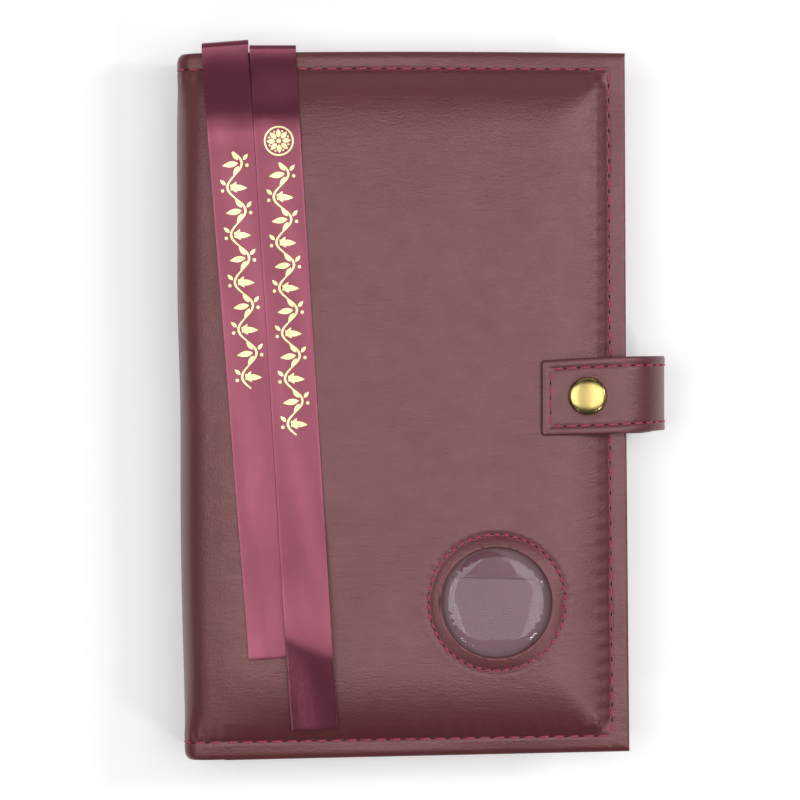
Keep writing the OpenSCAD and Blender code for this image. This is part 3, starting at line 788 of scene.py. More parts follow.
# ---------- stitches ----------
def stitch_shape(length, r):
    """A two-ply twisted stitch along +X that dives into its holes at both ends."""
    n_t, n_a = 11, 10
    verts = []
    for i in range(n_t):
        t = i / (n_t - 1) * 2 - 1
        env = max(0.0, 1 - abs(t) ** 5) ** 0.5
        z = 0.30 * r - 1.5 * r * abs(t) ** 4
        for k in range(n_a):
            a = 2 * math.pi * k / n_a
            rr = r * env * (1 + 0.20 * math.cos(2 * a - t * 9.0))
            verts.append((t * length / 2, rr * math.cos(a), z + rr * math.sin(a) * 0.85))
    faces = tube_faces(n_t, n_a)
    faces += [tuple(range(n_a)), tuple(range((n_t - 1) * n_a, n_t * n_a))[::-1]]
    return np.array(verts), faces


def hole_shade_shape(rx, ry):
    """The dark dip between two stitches, where the thread goes in and comes out: a small dark disc laid over
    the surface as painted shade.
    """
    n = 12
    verts = [(0, 0, 0.13)]
    for k in range(n):
        a = 2 * math.pi * k / n
        verts.append((rx * math.cos(a), ry * math.sin(a), 0.02 if k % 2 else 0.05))
    faces = [(0, 1 + k, 1 + (k + 1) % n) for k in range(n)] + [tuple(range(n, 0, -1))]
    return np.array(verts), faces


def place(shape, at, along, up, mat=0, turn=0.0):
    v, f = shape
    up = up / np.linalg.norm(up)
    along = along - up * (along @ up)
    along = along / np.linalg.norm(along)
    side = np.cross(up, along)
    if turn:
        c, s = math.cos(turn), math.sin(turn)
        along, side = along * c + side * s, side * c - along * s
    return (at + v[:, :1] * along + v[:, 1:2] * side + v[:, 2:] * up, f, mat)


def sew(points, ups, pitch, share=0.70, r=0.36, hole=0.34):
    """Stitches along a polyline of points with their outward normals, every pitch."""
    seg = np.linalg.norm(np.diff(points, axis=0), axis=1)
    run = np.concatenate([[0], np.cumsum(seg)])
    n = max(1, round(run[-1] / pitch))
    step = run[-1] / n
    shape = stitch_shape(step * share, r)
    # each needle hole gets a small dark disc of painted shade
    shade_dot = hole_shade_shape(step * (1 - share) * 0.62, hole)
    at = lambda d: np.array([np.interp(d, run, points[:, k]) for k in range(3)])
    nrm = lambda d: np.array([np.interp(d, run, ups[:, k]) for k in range(3)])
    out = []
    for k in range(n):
        mid = (k + 0.5) * step
        along = at(mid + 0.4) - at(mid - 0.4)
        turn = 0.07 + random.uniform(-0.05, 0.05)
        out.append(place(shape, at(mid), along, nrm(mid), 0, turn))
        if k:
            out.append(place(shade_dot, at(k * step), along, nrm(k * step), 1))
    return out


def stitch_object(name, parts, nodes, body=None, mix=None):
    verts, faces, face_mats = join(parts)
    piece(name, (verts, faces), [m_thread, m_hole_shade], nodes, body, mix, 60, face_mats)


def jacket_run(s_list, y_list):
    s, y = np.broadcast_arrays(np.asarray(s_list, float), np.asarray(y_list, float))
    return surf(s, y), surf_normal(s, y)


def inner_run(x0, y0, x1, y1, z, up, n=40):
    x, y = np.linspace(x0, x1, n), np.linspace(y0, y1, n)
    return warp(np.stack([x, y, 0 * x + z], -1)), np.tile([0, 0, up], (n, 1)).astype(float)


def seam(side):
    """Perimeter stitches of one cover, on its outer face and on its flap."""
    name, body = COVERS[side]
    s_of = (lambda x: EDGE_X - x) if side > 0 else (lambda x: S5 - (EDGE_X - x))
    z_in = TOP - FLAP_Z if side > 0 else FLAP_Z
    parts = []
    for y in (-STITCH_Y, STITCH_Y):
        parts += sew(*jacket_run(s_of(np.linspace(STITCH_X - 0.4, SEAM_END, 60)), y), PITCH)
        parts += sew(*inner_run(STITCH_X - 0.4, y, SEAM_END, y, z_in, -side), PITCH)
    parts += sew(*jacket_run(s_of(STITCH_X), np.linspace(0.4 - STITCH_Y, STITCH_Y - 0.4, 90)), PITCH)
    parts += sew(*inner_run(STITCH_X, 0.4 - STITCH_Y, STITCH_X, STITCH_Y - 0.4, z_in, -side), PITCH)
    stitch_object(f"{name}_seam_stitches", parts, [f"{name}_stitching"], body)


seam(1)
seam(-1)
for name, s0, s1, body, mix in (
    ("front_joint", FRONT_END + 0.6, S2 + WALL_CUT - 0.4, None, joint_front),
    ("spine", S2 + WALL_CUT + 0.4, S3 - WALL_CUT - 0.4, "spine_cover", None),
    ("back_joint", S3 - WALL_CUT + 0.4, S5 - FRONT_END - 0.6, None, joint_back),
):
    parts = []
    for y in (-STITCH_Y, STITCH_Y):
        parts += sew(*jacket_run(np.linspace(s0, s1, 60), y), 4.8)
    stitch_object(f"{name}_stitches", parts, [f"{name}_stitching"], body, mix)

# ---------- medallion window ----------
ring_a = np.linspace(0, 2 * math.pi, 181)
ring_s = EDGE_X - (WINDOW[0] + RING_R * np.cos(ring_a))
ring_p, ring_n = jacket_run(ring_s, WINDOW[1] + RING_R * np.sin(ring_a))
ring = sew(ring_p, ring_n, 2 * math.pi * RING_R / RING_STITCHES, 0.60, 0.50, 0.58)
stitch_object("window_stitches", ring, ["window_stitching"], "front_cover")


def lathe(profile, centre, n=96):
    """Turns (radius, height) points round a vertical line through centre, from the axis back to the axis."""
    verts, faces = [], []
    rows = []
    for r, z in profile:
        if r < 1e-6:
            rows.append([len(verts)])
            verts.append((centre[0], centre[1], z))
        else:
            rows.append(list(range(len(verts), len(verts) + n)))
            for k in range(n):
                a = 2 * math.pi * k / n
                verts.append((centre[0] + r * math.cos(a), centre[1] + r * math.sin(a), z))
    for a, b in zip(rows, rows[1:]):
        for k in range(n):
            w = (k + 1) % n
            q = (a[k % len(a)], a[w % len(a)], b[w % len(b)], b[k % len(b)])
            q = tuple(dict.fromkeys(q))
            if len(q) > 2:
                faces.append(q)
    return np.array(verts), faces


# the film runs out from under the leatherette's edge and bulges up through the hole
# (radius, height over the cover's face)
film_line = [(0, 1.10), (8, 1.08), (12, 1.02), (13.5, 0.95), (14.8, 0.82), (15.8, 0.64), (16.6, 0.42)]
film_line += [(17.3, 0.16), (17.9, -0.08), (18.4, -0.24), (19.2, -0.42), (20.5, -0.80), (22, -0.96)]
film_line += [(24.0, -0.96)]
fr = np.concatenate([[0], np.linspace(0.6, 24.0, 60)])
fz = TOP + np.interp(fr, *zip(*film_line))
fz = np.convolve(np.pad(fz, 2, mode="edge"), [0.1, 0.2, 0.4, 0.2, 0.1], mode="valid")
dome_r = HOLE_R - 0.2
outer = [*zip(fr, fz)]
inner = [(r, z - 0.33) for r, z in reversed(outer)]
skirt = [(24.3, outer[-1][1] - 0.165)]
v, f = lathe(outer + skirt + inner, WINDOW, 240)
# the film is slack, so its top leans a little and its rim is wrinkled
q = v[:, :2] - WINDOW
rr = np.hypot(q[:, 0], q[:, 1])
aa = np.arctan2(q[:, 1], q[:, 0])
sag = 0.05 * np.sin(q[:, 0] / 4.5 + 0.6) * np.cos(q[:, 1] / 6.0) - 0.10
v[:, 2] += np.clip(1 - rr / dome_r, 0, 1) ** 0.5 * sag
v[:, 2] += 0.10 * np.sin(5 * aa) * np.exp(-(((rr - 15.5) / 2.2) ** 2))
v[:, 2] += 0.035 * np.sin(37 * aa + 2 * np.sin(5 * aa)) * np.exp(-(((rr - 16.6) / 1.1) ** 2))
piece("window_film", (v, f), m_vinyl, ["medallion_window"], "front_cover", smooth_angle=70)


BOX_FACES = ((0, 1, 2, 3), (7, 6, 5, 4), (0, 4, 5, 1), (1, 5, 6, 2), (2, 6, 7, 3), (3, 7, 4, 0))


def backing():
    """Leatherette behind the film, with its slit and the half-moon where it gapes. The backing is painted
    lighter as haze of the film, the half-moon darker as painted shade, and the slit's line is a dark strip of
    painted shade.
    """
    floor = backing_lo[2] + 0.4
    n_r, n_a = 46, 144
    slit_y, moon_x, moon_y = 8.0, -2.9, 8.3
    verts, mats = [], []
    for i in range(n_r + 1):
        r = 24.2 * i / n_r
        for k in range(n_a):
            a = 2 * math.pi * k / n_a
            x, y = r * math.cos(a), r * math.sin(a)
            z = floor + (0.25 if r > 18.6 else 0.0)
            slit = math.exp(-(((y - slit_y) / 0.32) ** 2)) * float(smooth((14.6 - abs(x + 0.6)) / 1.0))
            moon_r = math.hypot((x - moon_x) / 10.2, (y - moon_y) / 9.2)
            moon = float(smooth((1 - moon_r) / 0.18)) if y > moon_y else 0.0
            z -= 0.2 * slit + 0.30 * moon
            z += 0.10 * math.sin(x / 3.7 + y / 9) * (r < 18)
            verts.append((WINDOW[0] + x, WINDOW[1] + y, z))
    faces = tube_faces(n_r + 1, n_a)
    for q in faces:
        c = np.mean([verts[j] for j in q], axis=0)
        x, y = c[0] - WINDOW[0], c[1] - WINDOW[1]
        # faces in the half-moon take the darker pocket material as painted shade
        in_shaded_moon = y > moon_y and math.hypot((x - moon_x) / 9.6, (y - moon_y) / 8.6) < 1
        mats.append(1 if in_shaded_moon else 0)
    base = len(verts)
    for k in range(n_a):
        verts.append((*verts[n_r * n_a + k][:2], backing_lo[2]))
    for k in range(n_a):
        w = (k + 1) % n_a
        faces.append((n_r * n_a + k, n_r * n_a + w, base + w, base + k))
        mats.append(0)
    faces.append(tuple(range(base, base + n_a)))
    mats.append(0)
    # a dark strip of painted shade along the slit, with a lip of backing beside it
    for y0, y1, z, mat in ((7.75, 8.25, floor + 0.10, 2), (7.2, 7.75, floor + 0.24, 0)):
        b = len(verts)
        for dz in (0, -0.3):
            for x, y in ((-14.6, y0), (13.4, y0), (13.4, y1), (-14.6, y1)):
                verts.append((WINDOW[0] + x, WINDOW[1] + y - 0.02 * x, z + dz))
        faces.extend(tuple(b + k for k in q) for q in BOX_FACES)
        mats.extend([mat] * 6)
    looks = [m_backing_painted_haze, m_pocket_shade, m_hole_shade]
    nodes = ["medallion_backing"]
    piece("window_backing", (verts, faces), looks, nodes, "front_cover", None, 60, mats)


backing()

# ---------- snap ----------
cap_r = (cap_hi[0] - cap_lo[0]) / 2
z0 = tab_hi[2]
cap_profile = [(0, z0 + 1.95)]
for k in range(1, 19):
    r = (cap_r - 0.45) * k / 18
    cap_profile.append((r, z0 + 0.95 + 1.0 * math.sqrt(max(0, 1 - (r / (cap_r + 0.2)) ** 2.2))))
cap_profile += [(cap_r - 0.16, z0 + 1.02), (cap_r - 0.03, z0 + 0.74), (cap_r, z0 + 0.45)]
cap_profile += [(cap_r - 0.08, z0 + 0.15), (cap_r - 0.35, z0 - 0.05)]
cap_profile += [(1.5, z0 - 0.05), (1.5, tab_in_lo[2]), (0, tab_in_lo[2])]
piece("snap_cap_dome", lathe(cap_profile, SNAP), m_brass, ["snap_cap"], "strap_tab", smooth_angle=50)
so, st = socket_hi[2], socket_lo[2]
socket_profile = [(0, so), (5.0, so), (5.2, so - 0.15), (5.15, st + 0.35), (4.7, st), (3.2, st)]
socket_profile += [(2.6, st + 0.2), (2.5, st + 0.5), (2.75, st + 0.8), (2.75, so - 0.2), (0, so - 0.2)]
socket = lathe(socket_profile, SNAP, 64)
piece("snap_socket_ring", socket, m_brass_dull, ["snap_socket"], "strap_tab", smooth_angle=50)
post, foot = stud_hi[2], TOP - 0.55
stud_profile = [(0, post), (1.3, post), (1.75, post - 0.15), (1.98, post - 0.55), (1.7, post - 1.0)]
stud_profile += [(1.7, foot + 0.75), (2.2, foot + 0.5), (3.6, foot + 0.42), (4.4, foot + 0.25)]
stud_profile += [(4.6, foot + 0.02), (4.5, foot - 0.1), (0, foot - 0.1)]
stud = lathe(stud_profile, SNAP, 64)
piece("snap_stud_post", stud, m_brass_dull, ["snap_stud"], "front_cover", smooth_angle=50)

# ---------- strap ----------
STRAP_W = tab_hi[1] - tab_lo[1]
STRAP_Y = (tab_hi[1] + tab_lo[1]) / 2
BOW = side_hi[0] - EDGE_X + 0.8
LOW_Z = base_hi[2]
HIGH_Z = tab_hi[2] - BOW
LAYER = tab_hi[2] - tab_lo[2]
BEND_L = math.pi / 2 * BOW
STRAP_L = [base_hi[0] - base_lo[0] - BOW, BEND_L, HIGH_Z - LOW_Z, BEND_L, EDGE_X - tab_lo[0]]
STRAP_CUT = STRAP_L[0] + STRAP_L[1] + 10.8
BEND_EASE = 9.0  # the strap's two bends ease in and out over this length
bend_u, bend_a, bend_x, bend_z = quarter_turn(BOW, BEND_EASE, 300)


def bend(q):
    """Angle and place along an eased quarter turn that starts along the first axis at q = 0."""
    a = np.interp(q, bend_u, bend_a)
    along = np.where(q < -BEND_EASE, q, np.interp(q, bend_u, bend_x) - BEND_EASE)
    up = np.where(q > BEND_L + BEND_EASE, BOW + q - BEND_L, np.interp(q, bend_u, bend_z))
    return a, along, up


def strap_point(u, v, depth=0.0):
    """u runs from the sewn end to the tab's end, v across the strap from its middle."""
    u, v = np.broadcast_arrays(np.asarray(u, float), np.asarray(v, float))
    l0, l1, l2, l3, _ = np.cumsum(STRAP_L)
    a1, x1, z1 = bend(u - l0)
    a2, x2, z2 = bend(u - l2)
    low = u < (l1 + l2) / 2
    a = np.where(low, a1, math.pi / 2 + a2)
    nx, nz = np.sin(a), -np.cos(a)
    x = np.where(low, EDGE_X + x1, EDGE_X + BOW - z2)
    z = np.where(low, LOW_Z - BOW + z1, HIGH_Z + x2)
    h = -0.75 * smooth((u - l3 - 15) / 12) * (u > l3)
    # edges are turned in and stitched, so the band swells a little between them
    e = np.minimum(STRAP_W / 2 - np.abs(v), l3 + STRAP_L[4] - u)
    h = h + 0.16 * np.exp(-(((e - 1.5) / 1.2) ** 2)) - 0.20 * np.exp(-(((e - 3.1) / 0.6) ** 2))
    q = np.hypot(x - SNAP[0], v + STRAP_Y - SNAP[1])
    h = h - 0.30 * smooth((9.0 - q) / 4.0) * (u > l3)
    h = h + 0.10 * np.sin(u / 6.3) * np.sin(v / 5.0 + 1)
    h = h - depth
    yc = STRAP_Y + 0.041 * (np.clip(x, 40, 92) - 63) * smooth((z - 2) / 10)
    wide = 1 + 0.012 * np.sin(u / 9.0)
    return np.stack([x + nx * h, yc + v * wide, z + nz * h], -1)


def strap_layer(name, u0, u1, depth, free, nodes, mix):
    t = LAYER - 0.02
    r = t / 2
    u = lines((u0 + (r if free[0] else 0), u1 - (r if free[1] else 0), 0.8))
    edge = STRAP_W / 2 - r
    vv = lines((-edge, 5 - edge, 0.4), (5 - edge, edge - 5, 0.9), (edge - 5, edge, 0.4))
    U, V = np.meshgrid(u, vv, indexing="ij")
    if free[1]:  # round the tab's two corners
        k = np.clip((np.abs(V) - (STRAP_W / 2 - 2.2)) / 2.2, 0, 1)
        near = np.clip((U - (total - 6)) / 6, 0, 1)
        U = U - near * 1.0 * (1 - np.sqrt(1 - k**2 * 0.98))
    P = strap_point(U, V, depth)
    N = grid_normals(P)
    ref = strap_point(U, V, depth - 1) - P
    N = N * np.sign((N * ref).sum(-1, keepdims=True))
    piece(name, shell_data(P, N, t, free), m_strap, nodes, mix=mix)


strap_low = ("back_cover", "strap_side", (EDGE_X, 0, LOW_Z - 3), (EDGE_X, 0, LOW_Z + 4))
strap_high = ("strap_side", "strap_tab", (EDGE_X + 4.5, 0, TOP), (EDGE_X - 4.5, 0, TOP))
total = sum(STRAP_L)
for half, u0, u1, free, mix, ends in (
    ("lower", 0, STRAP_CUT, START_FREE, strap_low, ["base"]),
    ("upper", STRAP_CUT, total, END_FREE, strap_high, ["side", "tab"]),
):
    for face, depth in (("outer", 0.0), ("lining", LAYER)):
        nodes = [f"strap_{end}_{face}" for end in ends]
        strap_layer(f"strap_{half}_{face}", u0, u1, depth, free, nodes, mix)


def strap_run(u, v):
    u, v = np.broadcast_arrays(np.asarray(u, float), np.asarray(v, float))
    P = strap_point(u, v)
    ref = strap_point(u, v, -1.0) - P
    return P, ref / np.linalg.norm(ref, axis=-1, keepdims=True)


INSET = 3.1
SEAM_V = STRAP_W / 2 - INSET
low, high = [], []
for sgn in (-1, 1):
    v = sgn * SEAM_V
    low += sew(*strap_run(np.linspace(STRAP_L[0] + 1, STRAP_CUT - 0.4, 60), v), 4.7, 0.70)
    high += sew(*strap_run(np.linspace(STRAP_CUT + 0.4, total - INSET - 0.4, 90), v), 4.7, 0.70)
high += sew(*strap_run(total - INSET, np.linspace(-SEAM_V, SEAM_V, 30)), 4.8, 0.70)
low += sew(*strap_run(STRAP_L[0] * 0.5, np.linspace(-SEAM_V, SEAM_V, 30)), 4.6, 0.70)
stitch_object("strap_lower_stitches", low, ["strap_base_stitching"], mix=strap_low)
stitch_object("strap_upper_stitches", high, ["strap_side_stitching", "strap_tab_stitching"], mix=strap_high)


# ---------- pages ----------
HALF = (pages_hi[2] + 0.2 - (back_pages_lo[2] - 0.2)) / 2
PAGE_MID = (pages_hi[2] + back_pages_lo[2]) / 2
SPX, FOX = pages_lo[0], pages_hi[0]
SPINE_SAG = 3.5  # depth of the arcs that the pages' spine and fore-edge make
FORE_SAG = 2.0


def arc_x(z, depth):
    r = (HALF**2 + depth**2) / (2 * depth)
    return r - np.sqrt(np.maximum(0, r**2 - (z - PAGE_MID) ** 2))


def page_block(name, lo, hi, nodes, body):
    leaves = 62
    zs = np.linspace(lo[2], hi[2], leaves + 1)
    ys = np.array([lo[1], hi[1]])
    verts, faces, mats, rings = [], [], [], []
    for k in range(leaves):
        group = 0.10 * math.sin(k * 0.39 + 1) ** 8
        fore = random.uniform(-0.10, 0.04) - group
        head, tail = random.uniform(-0.08, 0.02) - group, random.uniform(-0.08, 0.02) - group
        for z in (zs[k], zs[k + 1]):
            zz = (zs[k] + zs[k + 1]) / 2
            x0 = SPX + arc_x(z, SPINE_SAG) + 0.02
            x1 = FOX - FORE_SAG + arc_x(zz, FORE_SAG) + fore
            ids = []
            for x, y in ((x0, ys[0] - tail), (x1, ys[0] - tail), (x1, ys[1] + head), (x0, ys[1] + head)):
                ids.append(len(verts))
                verts.append((x, y, z))
            rings.append(ids)
    for a, b in zip(rings, rings[1:]):
        for k in range(4):
            w = (k + 1) % 4
            faces.append((a[k], a[w], b[w], b[k]))
            mats.append(0)
    faces += [tuple(rings[0])[::-1], tuple(rings[-1])]
    mats += [1, 1]
    piece(name, (verts, faces), [m_edges, m_paper], nodes, body, None, 0, mats)


page_block("front_pages_stack", pages_lo, pages_hi, ["front_page_block"], "front_pages")
page_block("back_pages_stack", back_pages_lo, back_pages_hi, ["back_page_block"], "back_cover")


def headband(name, node, body, z0, z1):
    """Rolled bands with thread wound over them, at the head and tail of the spine."""
    lo, hi = cad(node)
    parts, stripes = [], []
    for y in (lo[1] + 0.7, hi[1] - 0.7):
        n, n_a = 90, 12
        verts = []
        for i in range(n + 1):
            z = z0 + (z1 - z0) * i / n
            x = SPX + arc_x(z, SPINE_SAG) + 0.85
            r = 0.62 + 0.07 * math.cos(i * math.pi)
            for k in range(n_a):
                a = 2 * math.pi * k / n_a
                verts.append((x + r * 1.1 * math.cos(a), y + r * math.sin(a), z))
        faces = tube_faces(n + 1, n_a)
        faces += [tuple(range(n_a)), tuple(range(n * n_a, (n + 1) * n_a))]
        stripes += [(i // 4) % 2 for i in range(n) for _ in range(n_a)] + [0, 0]
        parts.append((np.array(verts), faces))
    piece(name, join(parts)[:2], [m_band_a, m_band_b], [node], body, None, 50, stripes)


m_band_a = plain("headband_wine", (0.40, 0.05, 0.10), 0.5, scale=4000, vary=0.2)
m_band_b = plain("headband_cream", (0.82, 0.76, 0.62), 0.5, scale=4000, vary=0.1)
headband("front_headband_rolls", "front_headbands", "front_pages", PAGE_MID + 0.2, pages_hi[2] - 1.2)
headband("back_headband_rolls", "back_headbands", "back_cover", back_pages_lo[2] + 1.2, PAGE_MID - 0.2)

# ---------- ribbons ----------
RIBBON_W = 15.3
SATIN_T = 0.26
LOOP_SHARE = 0.93  # share of a half turn that a loop makes before its strip begins
RISE = 24.0  # a strip climbs from its loop to the cover over this length
SQUARING = 12.0  # past the edge, its waves and its slant come in over this length


class Ribbon:
    """A satin marker: centre line from its sewn tail, round the head edge and down the front."""

    def __init__(self, strip_lo, strip_hi, root_lo, slant, square, loop_r, over, lie):
        self.slant = math.radians(slant)
        self.square = square  # whether its fold is square to the cover's edge
        self.end_y = strip_lo[1] + RIBBON_W / 2 * math.sin(self.slant)
        self.end_x = strip_hi[0] - RIBBON_W / 2 * math.cos(self.slant)
        self.loop_r = loop_r
        self.over = over
        self.tail_y = root_lo[1]
        self.tail_z = root_lo[2]
        self.lie = lie

    def x(self, y):
        return self.end_x - (min(y, EDGE_Y) - self.end_y) * math.tan(self.slant)


def ribbon_line(rb, loop):
    """(y, z) points of the loop over the edge, or of the strip down the front."""
    pts = []
    cz = rb.tail_z + rb.loop_r
    if loop:
        for y in np.linspace(rb.tail_y, EDGE_Y + rb.over, 12):
            pts.append((y, rb.tail_z))
        for k in range(1, 17):
            a = math.pi * k / 16 * LOOP_SHARE
            pts.append((EDGE_Y + rb.over + rb.loop_r * math.sin(a), cz - rb.loop_r * math.cos(a)))
        return np.array(pts)
    a = math.pi * LOOP_SHARE
    y0, z0 = EDGE_Y + rb.over + rb.loop_r * math.sin(a), cz - rb.loop_r * math.cos(a)
    for y in lines((y0, 96, 0.8), (96, rb.end_y, 1.2)):
        pts.append((y, rb.lie(y, y0, z0)))
    return np.array(pts)


def lie_short(y, y0, z0):
    up = float(smooth((y0 - y) / RISE))
    crest = 1.1 * math.exp(-(((y - 90) / 9.0) ** 2))
    curl = 0.5 * float(smooth((-76 - y) / 9)) - 0.2 * math.exp(-(((y + 60) / 12) ** 2))
    return z0 + (TOP + PUFF + 0.30 - z0) * up + crest + curl + 0.10 * math.sin(y / 11)


def lie_long(y, y0, z0):
    up = float(smooth((y0 - y) / RISE))
    crest = 1.0 * math.exp(-(((y - 90) / 9.0) ** 2))
    past = (-82 - y) / 27
    bend = 4.2 * float(smooth((-15 - y) / 62)) - 3.2 * (past + math.hypot(past, 0.09))
    return z0 + (TOP + PUFF + 0.85 - z0) * up + crest + bend + 0.08 * math.sin(y / 13 + 1)


short = Ribbon(strip_a_lo, strip_a_hi, root_a_lo, 4.46, False, 2.3, 1.5, lie_short)
long = Ribbon(strip_b_lo, strip_b_hi, root_b_lo, 3.56, True, 1.8, 0.8, lie_long)


def leather_z(x, y):
    return surf(EDGE_X - x, y)[..., 2]


def strip_z(rb, ys, zs, u, y):
    """Height of a strip's middle layer at u across it and y along it. Its bend near the end runs aslant."""
    aslant = 0.43 * float(smooth((-50 - y) / 15)) if rb.square else 0.0
    q = y + aslant * u
    z = np.interp(q, ys, zs) + np.minimum(0, q - ys[0]) * (zs[1] - zs[0]) / (ys[1] - ys[0])
    z += 0.10 * np.cos(u / RIBBON_W * 2 * math.pi + y / 15) * float(smooth((EDGE_Y - y) / SQUARING))
    floor_z = leather_z(rb.x(y) + u * math.cos(rb.slant), y + 0 * u) + SATIN_T + 0.1
    return floor_z + 0.5 * (z - floor_z + np.hypot(z - floor_z, 0.12))


def ribbon_grid(rb, pts, n=21):
    u = np.linspace(-RIBBON_W / 2, RIBBON_W / 2, n)
    top = pts[pts[:, 1] > rb.tail_z + rb.loop_r]
    top = top[np.argsort(top[:, 0])]
    P = np.zeros((len(pts), n, 3))
    c, s = math.cos(rb.slant), math.sin(rb.slant)
    for i, (y, z) in enumerate(pts):
        free = float(smooth((EDGE_Y - y) / SQUARING)) if z > rb.tail_z + rb.loop_r else 0.0
        P[i, :, 0] = rb.x(y) + u * c
        P[i, :, 1] = y + u * s * (free if rb.square else 1.0)
        P[i, :, 2] = strip_z(rb, top[:, 0], top[:, 1], u, y) if free > 0 else z
    return P


def ribbon_pieces(rb, name):
    """Makes the loop and the strip of a ribbon whose body and CAD node have the same name."""
    loop = ribbon_line(rb, True)
    strip = ribbon_line(rb, False)
    P = ribbon_grid(rb, np.concatenate([loop, strip]))
    N = grid_normals(P)
    flip = np.sign(N[-30, 10, 2])
    N = N * flip
    k = len(loop)
    P[k - 1] = P[k]
    N[k - 1] = N[k]
    for tag, a, b, free in (("loop", 0, k, START_FREE), ("strip", k, len(P), END_FREE)):
        data = shell_data(P[a:b], N[a:b], SATIN_T, free)
        if tag == "loop":
            held, node, body, mix = "folded", f"{name}_root", "front_cover", None
        else:
            held, node, body = "laid", name, None
            mix = ("front_cover", name, (rb.end_x, EDGE_Y - 0.5, TOP), (rb.end_x, EDGE_Y - 9, TOP))
        ob = piece(f"{name}_{tag}", data, m_satin, [node], body, mix, 60)
    return strip


short_line = ribbon_pieces(short, "short_ribbon")
long_line = ribbon_pieces(long, "long_ribbon")


# ---------- gold ornament on the ribbons ----------
def leaf(length, width, n=9):
    top = [(length * k / n, width / 2 * math.sin(math.pi * (k / n) ** 0.85)) for k in range(n + 1)]
    return top + [(x, -y) for x, y in reversed(top[1:-1])]


def disc(r, n=16):
    return [(r * math.cos(2 * math.pi * k / n), r * math.sin(2 * math.pi * k / n)) for k in range(n)]


def moved(shape, x, y, turn=0.0, scale=1.0):
    c, s = math.cos(turn) * scale, math.sin(turn) * scale
    return [(x + a * c - b * s, y + a * s + b * c) for a, b in shape]


def ribbon_strokes(points, widths):
    """Quads of a line that swells and thins."""
    p = np.array(points)
    d = np.gradient(p, axis=0)
    d /= np.linalg.norm(d, axis=1, keepdims=True)
    side = np.stack([-d[:, 1], d[:, 0]], 1) * np.array(widths)[:, None] / 2
    a, b = p + side, p - side
    return [[tuple(a[k]), tuple(a[k + 1]), tuple(b[k + 1]), tuple(b[k])] for k in range(len(p) - 1)]


def vine(length):
    """Polygons of a leafy scroll, running down from the origin."""
    polys = []
    bends = max(3, round(length / 7.6))
    half = length / bends
    t = np.linspace(0, bends, bends * 14 + 1)
    line = [(2.7 * math.sin(math.pi * k), -half * k) for k in t]
    polys += ribbon_strokes(line, [0.40 + 0.35 * abs(math.sin(math.pi * k)) for k in t])
    for i in range(bends):
        yc = -half * (i + 0.5)
        sgn = 1 if i % 2 == 0 else -1
        inward = math.pi if sgn > 0 else 0.0
        polys.append(moved(leaf(5.4, 2.0), 1.5 * sgn, yc, inward + 0.10 * sgn))
        polys.append(moved(leaf(3.5, 1.35), 1.6 * sgn, yc + 1.0, inward - 0.95))
        polys.append(moved(leaf(3.5, 1.35), 1.6 * sgn, yc - 1.0, inward + 0.95))
        polys.append(moved(leaf(2.6, 1.2), 3.2 * sgn, yc + 0.9, math.pi / 2 - 0.75 * sgn))
        polys.append(moved(disc(0.55), 4.4 * sgn, yc - 0.9))
    return polys


def rosette(r):
    polys = []
    n = 8
    for k in range(n):
        a = 2 * math.pi * k / n
        polys.append(moved(leaf(r * 0.62, r * 0.34), 0.24 * r * math.cos(a), 0.24 * r * math.sin(a), a))
        b = a + math.pi / n
        polys.append(moved(disc(r * 0.07, 10), 0.72 * r * math.cos(b), 0.72 * r * math.sin(b)))
    polys.append(disc(r * 0.16))
    ang = np.linspace(0, 2 * math.pi, 41)
    polys += ribbon_strokes([(r * math.cos(a), r * math.sin(a)) for a in ang], [0.55] * 41)
    return polys


def moved_all(polys, x, y):
    return [moved(p, x, y) for p in polys]


def foil(rb, strip, name, top_y, bottom_y, with_rosette):
    c, s = math.cos(rb.slant), math.sin(rb.slant)
    order = np.argsort(strip[:, 0])
    ys, zs = strip[order, 0], strip[order, 1]
    polys = []
    start = top_y
    if with_rosette:
        polys += moved_all(rosette(4.7), 0.4, start - 4.8)
        start -= 12.0
    polys += moved_all(vine(start - bottom_y), 0.2, start)
    verts, faces = [], []
    for poly in polys:
        n = len(poly)
        for dz in (0.035, -0.02):
            for u, y in poly:
                z = float(strip_z(rb, ys, zs, np.array([u]), y)[0])
                verts.append((rb.x(y) + u * c, y + u * s, z + dz))
        b = len(verts) - 2 * n
        faces.append(tuple(range(b, b + n)))
        faces.append(tuple(range(b + 2 * n - 1, b + n - 1, -1)))
        for k in range(n):
            w = (k + 1) % n
            faces.append((b + k, b + n + k, b + n + w, b + w))
    piece(f"{name}_ornament", (verts, faces), m_foil, [f"{name}_foil"], name, smooth_angle=30)


foil(short, short_line, "short_ribbon", 84.0, 5.0, False)
foil(long, long_line, "long_ribbon", 92.3, -10.5, True)

# ---------- CAD pieces that stay as they are, mostly hidden ----------
for nodes, mat in (
    (("front_case_cloth", "back_case_cloth"), m_cloth),
    (("front_board", "back_board"), m_card),
    (("front_pastedown", "back_pastedown", "front_flyleaf", "back_flyleaf"), m_endpaper),
    (("front_spine_mull", "back_spine_mull"), m_mull),
    (("stud_rivet",), m_brass_dull),
    (("ribbon_tacks",), m_thread),
):
    for n in nodes:
        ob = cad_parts[n]
        ob.data.materials.clear()
        ob.data.materials.append(mat)

# ---------- floor, camera and light ----------
bpy.ops.mesh.primitive_plane_add(size=6, location=(0, 0, -0.0003))
floor = bpy.context.object
floor.name = "floor"
m_floor, _, b = material("floor")
set_inputs(b, {"Base Color": (0.98, 0.98, 0.98, 1), "Roughness": 0.7, "Specular IOR Level": 0.1})
set_inputs(b, {"Emission Color": (1, 1, 1, 1), "Emission Strength": 0.22})
floor.data.materials.append(m_floor)

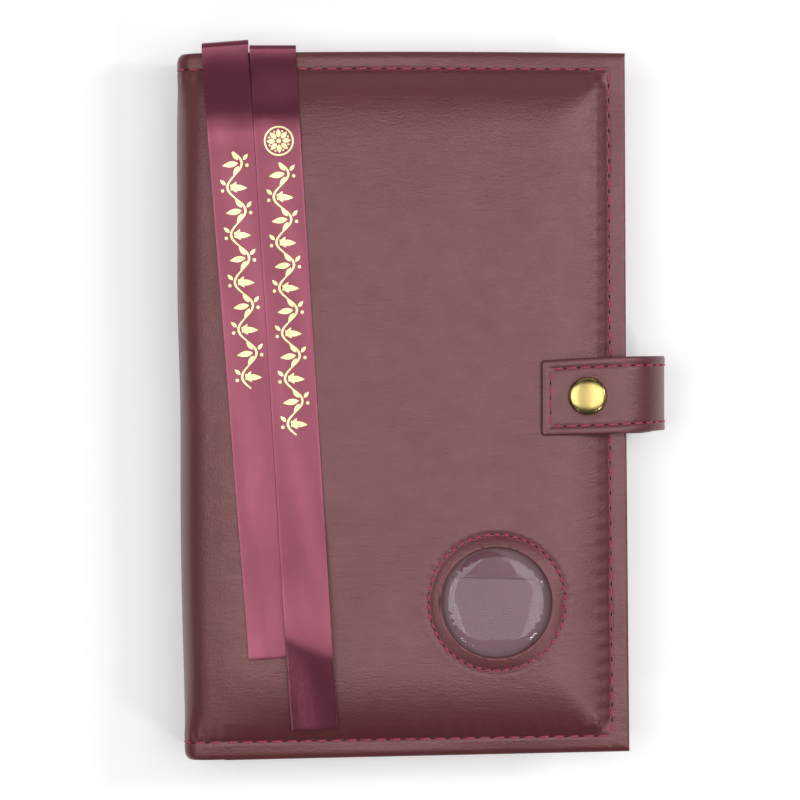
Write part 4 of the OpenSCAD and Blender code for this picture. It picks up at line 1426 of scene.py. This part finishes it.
DIST = 1.35
WIDE = 0.2672  # what the picture's width spans at the front cover
cam = bpy.data.cameras.new("camera")
camera = bpy.data.objects.new("camera", cam)
bpy.context.collection.objects.link(camera)
camera.location = (-0.0008, 0.0012, TOP * MM + DIST)
camera.rotation_euler = (0, 0, 0)
cam.sensor_width = 36
cam.lens = 36 * DIST / WIDE
cam.clip_start, cam.clip_end = 0.01, 50
bpy.context.scene.camera = camera


def area(name, where, target, size, power, size_y=None):
    d = bpy.data.lights.new(name, "AREA")
    d.energy = power
    d.size = size
    if size_y:
        d.shape = "RECTANGLE"
        d.size_y = size_y
    o = bpy.data.objects.new(name, d)
    bpy.context.collection.objects.link(o)
    o.location = where
    o.rotation_euler = (Vector(target) - Vector(where)).to_track_quat("-Z", "Y").to_euler()
    o.visible_camera = False
    return o


area("softbox_left", (-0.70, 0.03, 2.24), (-0.70, 0.03, 0), 0.94, 12.9, size_y=1.05)
area("softbox_right", (0.70, 0.03, 2.24), (0.70, 0.03, 0), 0.94, 12.2, size_y=1.05)
area("overhead", (0, 0.03, 2.26), (0, 0.03, 0), 0.46, 2.5, size_y=1.05)
area("head_fill", (0, 1.8, 1.3), (0, 0, 0), 2.2, 5.8, size_y=1.0)
area("right_fill", (1.7, 0.3, 0.9), (0, 0, 0), 1.2, 2.4)
area("left_fill", (-1.7, 0.3, 0.9), (0, 0, 0), 1.2, 2.4)
# small bright lamps that glint on the film's rim: turn, two sides and power
LAMP_OUT, LAMP_UP = 0.957, 1.063
lamps = ((15, 0.08, 0.34, 3.0), (-42, 0.20, 0.10, 2.2), (-125, 0.30, 0.07, 0.9))
for k, (turn, size, size_y, power) in enumerate(lamps):
    c, s = math.cos(math.radians(turn)), math.sin(math.radians(turn))
    area(f"lamp_{k}", (LAMP_OUT * c, LAMP_OUT * s, LAMP_UP), (0, 0, 0), size, power, size_y=size_y)
world = bpy.data.worlds.new("world")
bpy.context.scene.world = world
world.use_nodes = True
set_inputs(world.node_tree.nodes["Background"], {"Color": (0.97, 0.98, 1.0, 1), "Strength": 0.09})
bpy.context.scene.view_settings.view_transform = "Standard"
